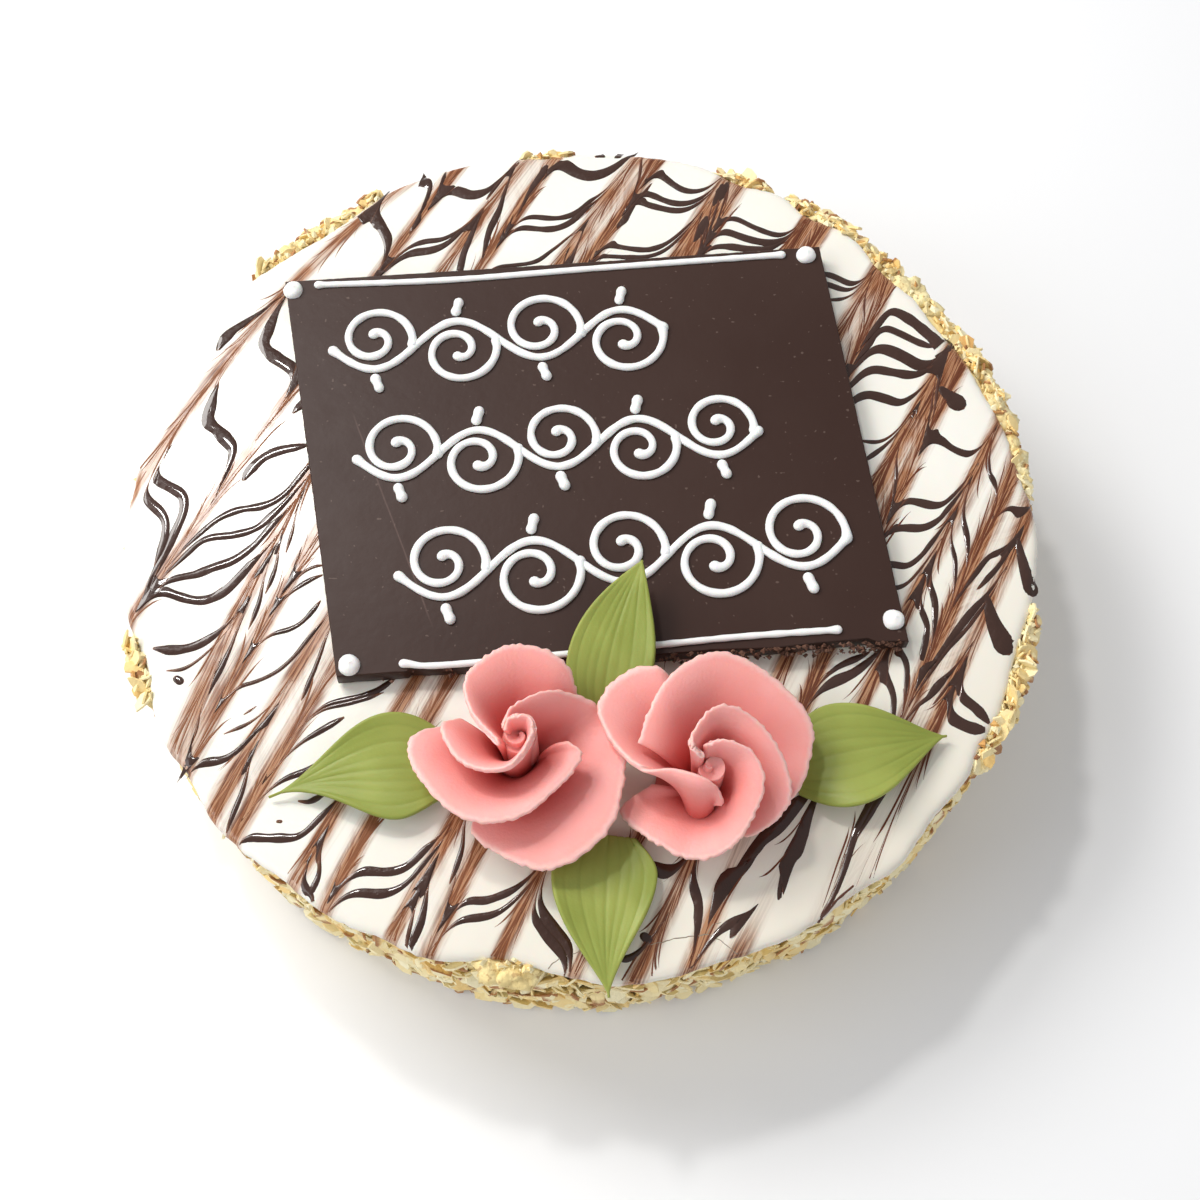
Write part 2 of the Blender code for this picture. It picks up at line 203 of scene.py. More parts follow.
TABLE_HALF = 4
board = Finish("pale_table", 0.6)
board.set("Base Color", (0.90, 0.90, 0.90))
table_mesh = bpy.data.meshes.new("table")
table_mesh.from_pydata([(x * TABLE_HALF, y * TABLE_HALF, 0) for x, y in ((-1, -1), (1, -1), (1, 1), (-1, 1))],
                       [], [(0, 1, 2, 3)])
table_mesh.materials.append(board.material)
table = bpy.data.objects.new("table", table_mesh)
scene.collection.objects.link(table)


# Cake: a round of nut layers and butter cream, its side spread with cream so that the almonds stick.
# The cream shows at the rim where the fondant falls short, so the fondant's edge is settled here.
CAKE_RADIUS = 115.4
CAKE_TOP = 47.0
CAKE_SIDES = 360
# height, and how far in from the side, up and over the edge
CAKE_PROFILE = ((0.0, CAKE_RADIUS), (0.0, 1.5), (1.5, 0.0), (9.0, 0.0), (17.0, 0.0), (25.0, 0.0), (33.0, 0.0),
                (40.0, 0.0), (44.5, 0.2), (46.2, 1.0), (46.9, 2.4), (CAKE_TOP, 4.2), (46.9, 6.0), (46.8, 8.0),
                (46.6, 11.0), (46.6, CAKE_RADIUS))
# how far almonds may reach to the sides and the back, and how far from the middle in any direction
OUTLINE = 118.6
OUTLINE_ROUND = 121.0
RIM_BEGINS = 40
ICING_RADIUS = 117.2
# where the fondant falls short of the rim: direction in degrees, half-width in degrees, depth
SHORTFALLS = ((129, 9, 3.4), (96, 4, 1.2), (67, 5, 2.4), (56, 4, 3.4), (41, 7, 4.6), (30, 5, 3.8), (20, 7, 3.9),
              (8, 6, 2.6), (-20, 6, 2.4), (-32, 6, 2.6), (-43, 5, 2.3), (-57, 4, 0.9), (-75, 3, 0.7), (-90, 3, 1.2),
              (-98, 6, 5.0), (-112, 4, 1.4), (-126, 4, 1.2), (-143, 4, 1.6), (-158, 5, 2.6), (176, 5, 0.8))


def wobble(x, y, z, size):
    """Smooth noise from -1 to 1 with swells of about this size in millimetres."""
    return noise.noise(Vector((x / size, y / size, z / size)))


def rim_limit(turn):
    """How far out almonds may reach in a direction: they make the cake's outline uneven."""
    to_side = OUTLINE / max(abs(math.cos(turn)), 0.01)
    to_back = OUTLINE / max(math.sin(turn), 0.01)
    return min(to_side, to_back, OUTLINE_ROUND)


def degrees_off(turn, middle):
    """How many degrees a direction in radians is off a middle in degrees."""
    return (math.degrees(turn) - middle + 180) % 360 - 180


def icing_edge(turn):
    """The fondant's radius in a direction given in radians; it has run out furthest in front."""
    reach = ICING_RADIUS + 2.8 * max(0.0, -math.sin(turn)) ** 2
    reach += 0.35 * math.sin(7 * turn) + 0.5 * wobble(9 * math.cos(turn), 9 * math.sin(turn), 0, 1)
    for middle, half, depth in SHORTFALLS:
        reach -= depth * math.exp(-(degrees_off(turn, middle) / half) ** 2)
    return min(reach, rim_limit(turn) - 0.4)


def bared(turn):
    """Whether the fondant falls short enough in a direction to bare the rim."""
    return icing_edge(turn) <= ICING_RADIUS - 1.0


# where plain cream has broken out instead of almonds: direction, half-width, share
BROKEN_CREAM = ((36, 10, 0.94), (6, 10, 0.8), (-97, 9, 0.9), (130, 9, 0.45))


def creaminess(turn):
    """How much of the bared rim in a direction is plain broken cream, from 0 to 1."""
    return max(most * math.exp(-(degrees_off(turn, middle) / half) ** 4) for middle, half, most in BROKEN_CREAM)


class Piece:
    """A mesh being built up in millimetres: points, faces and, for most, one or two shades for each point."""

    def __init__(self):
        self.points = []
        self.faces = []
        self.shades = {}

    def add(self, points, faces, **shades):
        """Add points, faces that count from the first of them, and their shades."""
        start = len(self.points)
        self.points.extend(points)
        self.faces.extend(tuple(start + corner for corner in face) for face in faces)
        for name, shade in shades.items():
            self.shades.setdefault(name, []).extend(shade)

    def finish(self, name, finish, slot, replaced=(), smooth=True):
        """Make the mesh, let it ride on the cake, and hide the imported parts that it stands for. The slot is not
        used.
        """
        mesh = bpy.data.meshes.new(name)
        mesh.from_pydata([(x * MM, y * MM, z * MM) for x, y, z in self.points], [], self.faces)
        for shade, numbers in self.shades.items():
            mesh.attributes.new(shade, "FLOAT", "POINT").data.foreach_set("value", numbers)
        mesh.materials.append(finish.material)
        mesh.update()
        if smooth:
            mesh.shade_smooth()
        thing = bpy.data.objects.new(name, mesh)
        scene.collection.objects.link(thing)
        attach(thing, "root")
        if replaced:
            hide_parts(*replaced)
        return thing


def grid_faces(rows, columns, closed=False):
    """Quads between rows of points; closed joins the last column to the first."""
    faces = []
    for row in range(rows - 1):
        for column in range(columns if closed else columns - 1):
            beside = (column + 1) % columns
            faces.append((row * columns + column, row * columns + beside,
                          (row + 1) * columns + beside, (row + 1) * columns + column))
    return faces


cream = Finish("nut_cream", 0.6)
cream_patches = cream.grain(9.0, 3.0)
cream_specks = cream.grain(1.6, 2.0).between(0.58, 0.66)
cream_colour = cream.blend(cream_patches.between(0.35, 0.7), (0.87, 0.68, 0.30), (0.94, 0.82, 0.46))
cream.set("Base Color", cream.blend(cream_specks * 0.6, cream_colour, (0.50, 0.27, 0.10)))
cream.relief(cream.grain(2.2, 3.0), 0.8)

cake = Piece()
for height, inset in CAKE_PROFILE:
    radius = CAKE_RADIUS - inset
    for side in range(CAKE_SIDES):
        turn = math.tau * side / CAKE_SIDES
        x, y = math.cos(turn), math.sin(turn)
        swell = 0.55 * wobble(radius * x, radius * y, height, 6) if height > 0 else 0.0
        reach = max(radius + swell, 0.001)
        # where the fondant falls short the cream stands up past it
        risen = min(max(radius - icing_edge(turn) + 1.0, 0.0), 1.0)
        cake.points.append((reach * x, reach * y, height + (0.4 * swell + risen if height > RIM_BEGINS else 0)))
cake.faces = grid_faces(len(CAKE_PROFILE), CAKE_SIDES, closed=True)
cake.finish("cake_round", cream, "flaked_almond", ["cake_body"])


# Almonds: flaked almonds pressed all over the side, thickest at the rim, where they stand up past the fondant.
# Each is a thin domed chip with a broken outline; some are toasted and keep a brown skin at the edge.
almond = Finish("flaked_almond", 0.55)
tone = almond.attribute("tone")
skin = almond.attribute("skin")
almond_colour = almond.node("ShaderNodeValToRGB", {"stops": (
    (0.0, (0.95, 0.87, 0.58)), (0.40, (0.93, 0.76, 0.38)), (0.72, (0.87, 0.60, 0.22)), (0.93, (0.66, 0.34, 0.10)),
    (1.0, (0.32, 0.13, 0.05)))}, {"Fac": tone + almond.grain(3.0) * 0.16 - 0.08})
browned = (skin * (0.3 + almond.grain(2.0))).between(0.35, 0.75)
almond.set("Base Color", almond.blend(browned, almond_colour, (0.42, 0.19, 0.07)))
almond.relief(almond.grain(0.9, 3.0), 0.25)

FLAKE_CORNERS = 8
SKINNED_SHARE = 0.35
SIDE_FLAKES = 2700
RIM_FLAKES = 900
random_flakes = np.random.default_rng(24)


def flake(middle, facing, length, width, thickness, dome, tone_of_flake):
    """One almond flake: its points, faces, and the shade and brown skin of each point."""
    spin = random_flakes.uniform(0, math.tau)
    level = facing.orthogonal().normalized()
    level.rotate(Quaternion(facing, spin))
    upward = facing.cross(level)
    skinned = random_flakes.random() < SKINNED_SHARE
    points, skins, rims = [], [], []
    for corner in range(FLAKE_CORNERS):
        angle = math.tau * (corner + random_flakes.uniform(-0.25, 0.25)) / FLAKE_CORNERS
        reach = random_flakes.uniform(0.82, 1.08)
        rims.append((0.5 * length * reach * math.cos(angle), 0.5 * width * reach * math.sin(angle)))
    for side in (1, -1):
        points.append(middle + facing * (0.5 * side * thickness))
        skins.append(0.0)
        for across, up in rims:
            bend = -dome * (across * across + up * up)
            points.append(middle + level * across + upward * up + facing * (bend + 0.32 * side * thickness))
            skins.append(1.0 if skinned and across > 0 else 0.15)
    n = FLAKE_CORNERS
    faces = []
    for corner in range(n):
        after = (corner + 1) % n
        faces.append((0, 1 + corner, 1 + after))
        faces.append((n + 1, n + 2 + after, n + 2 + corner))
        faces.append((1 + corner, n + 2 + corner, n + 2 + after, 1 + after))
    return points, faces, [tone_of_flake] * len(points), skins


ALMOND_HEIGHTS = (0.3, 51.4)


def kept_in(point):
    """A point pulled back inside the cake's outline, off the table and down to the almonds' highest."""
    reach = math.hypot(point.x, point.y)
    limit = rim_limit(math.atan2(point.y, point.x)) if point.z > RIM_BEGINS else OUTLINE
    if reach > limit:
        point = Vector((point.x * limit / reach, point.y * limit / reach, point.z))
    point.z = min(max(point.z, ALMOND_HEIGHTS[0]), ALMOND_HEIGHTS[1])
    return point


almonds = Piece()
for count in range(SIDE_FLAKES + RIM_FLAKES):
    at_rim = count >= SIDE_FLAKES
    turn = random_flakes.uniform(0, math.tau)
    tilt = random_flakes.normal(0, 0.42, 3)
    if at_rim:
        # they gather where the fondant falls short
        turn = min(random_flakes.uniform(0, math.tau, 3), key=icing_edge)
        edge = icing_edge(turn)
        if not bared(turn) or random_flakes.random() < creaminess(turn):
            continue
        reach = random_flakes.uniform(edge + 1.0, max(edge + 1.6, rim_limit(turn) - 2.0))
        height = random_flakes.uniform(45.0, 48.6)
    outward = Vector((math.cos(turn), math.sin(turn), 0))
    if at_rim:
        facing = outward * random_flakes.uniform(0.1, 1.0) + Vector((0, 0, random_flakes.uniform(0.2, 1.1)))
        length = random_flakes.uniform(3.0, 8.0)
    else:
        reach = CAKE_RADIUS + random_flakes.uniform(0.2, 1.7)
        facing = outward.copy()
        length = random_flakes.uniform(5.0, 10.5)
        # under the fondant's rolled edge they stay lower
        height = random_flakes.uniform(2.5, 46.0 if bared(turn) else 45.6 - 0.5 * length)
    facing = (facing + Vector(tilt)).normalized()
    middle = outward * reach + Vector((0, 0, height))
    tone_of_flake = min(0.98, abs(random_flakes.normal(0.18, 0.30)) + (0.14 if at_rim else 0.0))
    points, faces, tones, skins = flake(middle, facing, length, length * random_flakes.uniform(0.5, 0.8),
                                        random_flakes.uniform(0.6, 1.0), random_flakes.uniform(0.0, 0.03),
                                        tone_of_flake)
    almonds.add([kept_in(point) for point in points], faces, tone=tones, skin=skins)
almonds.finish("almond_flakes", almond, "flaked_almond", smooth=False)

# Broken cream: nut cream that squeezed out past the fondant where no almonds stuck. It has dried
# in soft, uneven lumps at the rim.
CREAM_LUMPS = 420
LUMP_ROWS, LUMP_COLUMNS = 7, 12
lump_faces = grid_faces(LUMP_ROWS, LUMP_COLUMNS, closed=True)
lump_faces.append(tuple(range(LUMP_COLUMNS))[::-1])
lump_faces.append(tuple(range((LUMP_ROWS - 1) * LUMP_COLUMNS, LUMP_ROWS * LUMP_COLUMNS)))
lumps = Piece()
for count in range(CREAM_LUMPS):
    turn = random_flakes.uniform(0, math.tau)
    edge = icing_edge(turn)
    if not bared(turn) or random_flakes.random() > creaminess(turn):
        continue
    reach = random_flakes.uniform(edge + 0.3, max(edge + 1.0, rim_limit(turn) - 3.2))
    middle = Vector((reach * math.cos(turn), reach * math.sin(turn), random_flakes.uniform(45.4, 47.4)))
    size = random_flakes.uniform(2.0, 4.2)
    points = []
    for row in range(LUMP_ROWS):
        rise = math.pi * (0.02 + 0.96 * row / (LUMP_ROWS - 1))
        for column in range(LUMP_COLUMNS):
            way = math.tau * column / LUMP_COLUMNS
            outward = Vector((math.sin(rise) * math.cos(way), math.sin(rise) * math.sin(way), 0.5 * math.cos(rise)))
            spot = middle + outward * size
            swell = 1 + 0.60 * wobble(*spot, 2.2) + 0.35 * wobble(*spot, 0.9)
            points.append(kept_in(middle + outward * (size * swell)))
    lumps.add(points, lump_faces)
lumps.finish("cream_lumps", cream, "flaked_almond")

# Crumbs: broken bits of almond that stuck in the gaps between the flakes and along the bared rim.
# Each is a small chip with eight rough faces.
CRUMBS = 2200
CHIP_FACES = [(0, 2, 4), (2, 1, 4), (1, 3, 4), (3, 0, 4), (2, 0, 5), (1, 2, 5), (3, 1, 5), (0, 3, 5)]


def chip_corners(draw, middle, size, wide=1.0, tall=1.0):
    """The six corners of a chip, each a random way off."""
    axes = ((wide, 0, 0), (-wide, 0, 0), (0, 1, 0), (0, -1, 0), (0, 0, tall), (0, 0, -tall))
    return [middle + Vector(axis) * (size * draw.uniform(0.5, 1.1)) + Vector(draw.normal(0, 0.2 * size, 3))
            for axis in axes]


crumbs = Piece()
for count in range(CRUMBS):
    turn = random_flakes.uniform(0, math.tau)
    at_rim = count % 2
    reach = CAKE_RADIUS + random_flakes.uniform(-0.2, 1.6)
    height = random_flakes.uniform(1.5, 47.0)
    if at_rim:
        if not bared(turn):
            continue
        edge = icing_edge(turn)
        reach = random_flakes.uniform(edge - 0.2, max(edge + 0.6, CAKE_RADIUS + 1.6))
        height = random_flakes.uniform(46.8, 49.2)
    middle = Vector((reach * math.cos(turn), reach * math.sin(turn), height))
    size = random_flakes.uniform(0.5, 1.7)
    corners = [kept_in(corner) for corner in chip_corners(random_flakes, middle, size)]
    shade = min(1.0, abs(random_flakes.normal(0.25, 0.35)))
    crumbs.add(corners, CHIP_FACES, tone=[shade] * 6, skin=[0.2] * 6)
crumbs.finish("almond_crumbs", almond, "flaked_almond", smooth=False)


# Feathering: before the fondant sets, chocolate lines are piped across it and a skewer is drawn through them,
# one way and then the other, so every line is pulled into points along each stroke of the skewer.
# A stroke: way (1 to the back right, -1 to the front left), front-left end, back-right end, bow to the right
SKEWER_STROKES = (
    (1, (-114.5, 9.1), (-53.5, 102.9), -4.7),
    (-1, (-110.9, -28.0), (-39.3, 104.7), -0.9),
    (1, (-93.6, -51.6), (-15.2, 115.5), -6.0),
    (-1, (-94.1, -69.4), (-8.5, 113.7), -2.7),
    (1, (-84.0, -74.3), (16.6, 116.6), -3.0),
    (-1, (-81.5, -87.4), (20.8, 111.9), -2.5),
    (1, (-65.6, -95.9), (40.8, 107.2), -0.9),
    (-1, (-59.4, -105.2), (45.0, 104.7), -1.8),
    (1, (-40.8, -105.2), (65.0, 95.2), -1.9),
    (-1, (-36.3, -118.2), (69.3, 91.7), -3.2),
    (1, (-16.6, -110.8), (82.9, 76.9), -2.9),
    (-1, (-2.2, -120.7), (86.4, 75.3), 0.7),
    (1, (18.7, -106.3), (101.3, 51.6), -2.0),
    (-1, (25.8, -115.6), (98.7, 37.9), -0.9),
    (1, (49.4, -88.8), (108.9, 23.5), 0.0),
    (-1, (54.6, -106.1), (114.0, 14.4), -0.5),
    (1, (70.5, -86.4), (113.0, -5.4), 0.6),
)
PULL = {1: 14.0, -1: 13.0}
PULL_WIDTH = 1.5


class Stroke:
    """One pull of the skewer through the wet lines."""

    def __init__(self, way, front, back, bow):
        self.reach = math.hypot(back[0] - front[0], back[1] - front[1])
        self.ahead = ((back[0] - front[0]) / self.reach, (back[1] - front[1]) / self.reach)
        self.right = (self.ahead[1], -self.ahead[0])
        self.front = front
        self.bow = bow
        self.pull = way * PULL[way]

    def aside(self, x, y):
        """How far points lie to the right of the stroke."""
        along = ((x - self.front[0]) * self.ahead[0] + (y - self.front[1]) * self.ahead[1]) / self.reach
        along = np.clip(along, -0.1, 1.1)
        across = (x - self.front[0]) * self.right[0] + (y - self.front[1]) * self.right[1]
        return across - self.bow * 4 * along * (1 - along)


strokes = [Stroke(*stroke) for stroke in SKEWER_STROKES]


def feathered(x, y):
    """Where the skewer leaves points of the wet chocolate."""
    new_x, new_y = x.copy(), y.copy()
    for stroke in strokes:
        drag = stroke.pull * np.exp(-np.abs(stroke.aside(x, y)) / PULL_WIDTH)
        new_x += drag * stroke.ahead[0]
        new_y += drag * stroke.ahead[1]
    return new_x, new_y


# Fondant: a poured skin of white sugar icing. It has run out unevenly at the rim, and the skewer has drawn
# some chocolate into it, which leaves brown streaks along every stroke.
def icing_height(x, y):
    """The top of the fondant, which isn't quite level."""
    return ICING_TOP - 0.1 + 0.10 * wobble(x, y, 0, 34) + 0.02 * wobble(x, y, 5, 7)


# how the fondant's edge rolls over: share of the way to the edge, and drop below the top
EDGE_ROLL = ((0.972, 0.0), (0.982, 0.08), (0.990, 0.30), (0.996, 0.75), (1.0, 1.4))


def skin_height(x, y):
    """The fondant's surface, down over its rolled edge."""
    share = math.hypot(x, y) / icing_edge(math.atan2(y, x))
    return icing_height(x, y) - float(np.interp(share, *zip(*EDGE_ROLL)))


fondant = Finish("fondant", 0.24, Specular_IOR_Level=0.45, Subsurface_Weight=0.12, Subsurface_Scale=0.002)
STREAK_WIDTH = 2.6
here_x, here_y = fondant.along(1, 0), fondant.along(0, 1)
dragged_x, dragged_y, near_stroke, nearest, lane = here_x, here_y, 0.0, 0.0, 0.0
for number, stroke in enumerate(strokes):
    shift = -np.dot(stroke.front, stroke.ahead)
    along = fondant.along(stroke.ahead[0] / stroke.reach, stroke.ahead[1] / stroke.reach, shift / stroke.reach)
    shift = -np.dot(stroke.front, stroke.right)
    across = fondant.along(*stroke.right, shift)
    side = across - (along * 4 * stroke.bow) * (1 - along)
    off = abs(side)
    drag = (off * (-1 / PULL_WIDTH)).exp()
    dragged_x = dragged_x - drag * (stroke.pull * stroke.ahead[0])
    dragged_y = dragged_y - drag * (stroke.pull * stroke.ahead[1])
    reached = (off * (-1 / STREAK_WIDTH)).exp()
    near_stroke = reached + near_stroke
    # the lane is the place across the nearest stroke, so that streaks run along it
    nearer = reached.over(nearest)
    lane = nearer * (side + 40 * number - lane) + lane
    nearest = reached.most(nearest)
# which wet line passed here before the skewer came; on the right the lines bend to the front
past_bend = (dragged_x - 29).most(0)
line_place = dragged_y + past_bend * past_bend * (1 / 109)
# the strokes' common way, which the streaks run along
run = fondant.along(0.47, 0.88)


def streaks(across, fineness, length, detail):
    """Streaks of chocolate: noise that changes fast across the stroke and slowly along it."""
    place = fondant.node("ShaderNodeCombineXYZ", {}, {"X": across * fineness, "Y": run * (1 / length)})
    return fondant.node("ShaderNodeTexNoise", {"noise_dimensions": "2D"},
                        {"Vector": place, "Scale": 1.0, "Detail": detail, "Roughness": 0.65})


broad_streaks = streaks(lane, 0.55, 38.0, 2.0)
hair_streaks = streaks(lane, 2.1, 30.0, 3.0)
line_streaks = streaks(line_place, 0.30, 60.0, 3.0)
patches = fondant.grain(17.0, 2.0)
drawn_in = (near_stroke * (0.72 + broad_streaks * 0.56)).between(0.33, 0.78)
drawn_in = (drawn_in * (0.62 + patches.between(0.3, 0.6) * 0.5)).least(1)
# hardly any at the front right
PLAIN_SPOT = (62, -92)
plain_x, plain_y = here_x - PLAIN_SPOT[0], here_y - PLAIN_SPOT[1]
drawn_in = drawn_in * (0.10 + 0.90 * (plain_x * plain_x + plain_y * plain_y).between(350, 1250))
strands = (hair_streaks * 0.62 + line_streaks * 0.38).between(0.43, 0.58)
white = fondant.blend(fondant.grain(45.0).between(0.3, 0.7), (0.86, 0.825, 0.735), (0.885, 0.86, 0.785))
# painted shade: it is darker and yellower towards the front right, away from the window's light
white = fondant.blend(fondant.along(0.5, -0.85).between(20, 120), white, (0.80, 0.75, 0.64))
tinted = fondant.blend(drawn_in * 0.95, white, (0.44, 0.205, 0.092))
brown = fondant.blend(hair_streaks.between(0.50, 0.66), (0.245, 0.080, 0.028), (0.105, 0.030, 0.012))
fondant.set("Base Color", fondant.blend(drawn_in * strands, tinted, brown))
fondant.relief(fondant.grain(14.0, 2.0), 0.35)

icing = Piece()
ICING_SIDES = 480
# flat rings, the rolled edge, then the underside
ICING_RINGS = [(ring / 48, 0.0) for ring in range(46)] + list(EDGE_ROLL)
ICING_RINGS += [(0.999, 2.2), (0.993, 2.7), (0.90, 2.7), (0.0, 2.7)]
for share, drop in ICING_RINGS:
    for side in range(ICING_SIDES):
        turn = math.tau * side / ICING_SIDES
        edge = icing_edge(turn)
        reach = max(edge * share, 0.001)
        x, y = reach * math.cos(turn), reach * math.sin(turn)
        ragged = 0.35 * wobble(x, y, 0, 2.2) if share > 0.97 else 0.0
        x, y = x + ragged * math.cos(turn), y + ragged * math.sin(turn)
        icing.points.append((x, y, icing_height(x, y) - drop))
icing.faces = grid_faces(len(ICING_RINGS), ICING_SIDES, closed=True)
icing.finish("fondant_skin", fondant, "fondant", ["icing"])


# Chocolate lines: piped across the wet fondant from left to right, then feathered by the strokes above.
# They are glossy couverture and stand up a little where they are thick.
chocolate = Finish("chocolate_line", 0.30, Specular_IOR_Level=0.12, Coat_Weight=0.75, Coat_Roughness=0.03)
thin = chocolate.attribute("thin")
chocolate_tone = chocolate.grain(20.0).between(0.3, 0.7)
dark = chocolate.blend(chocolate_tone, (0.042, 0.017, 0.010), (0.056, 0.026, 0.018))
# where it is thin it looks brown; that brown is lighter on the left with painted light, where the window's light
# falls
thin_brown_and_painted_light = chocolate.blend(chocolate.along(1, 0).between(-85, 50), (0.260, 0.100, 0.044), (0.145, 0.043, 0.019))
chocolate.set("Base Color", chocolate.blend(thin, dark, thin_brown_and_painted_light))
chocolate.relief(chocolate.grain(1.6, 3.0), 0.30)

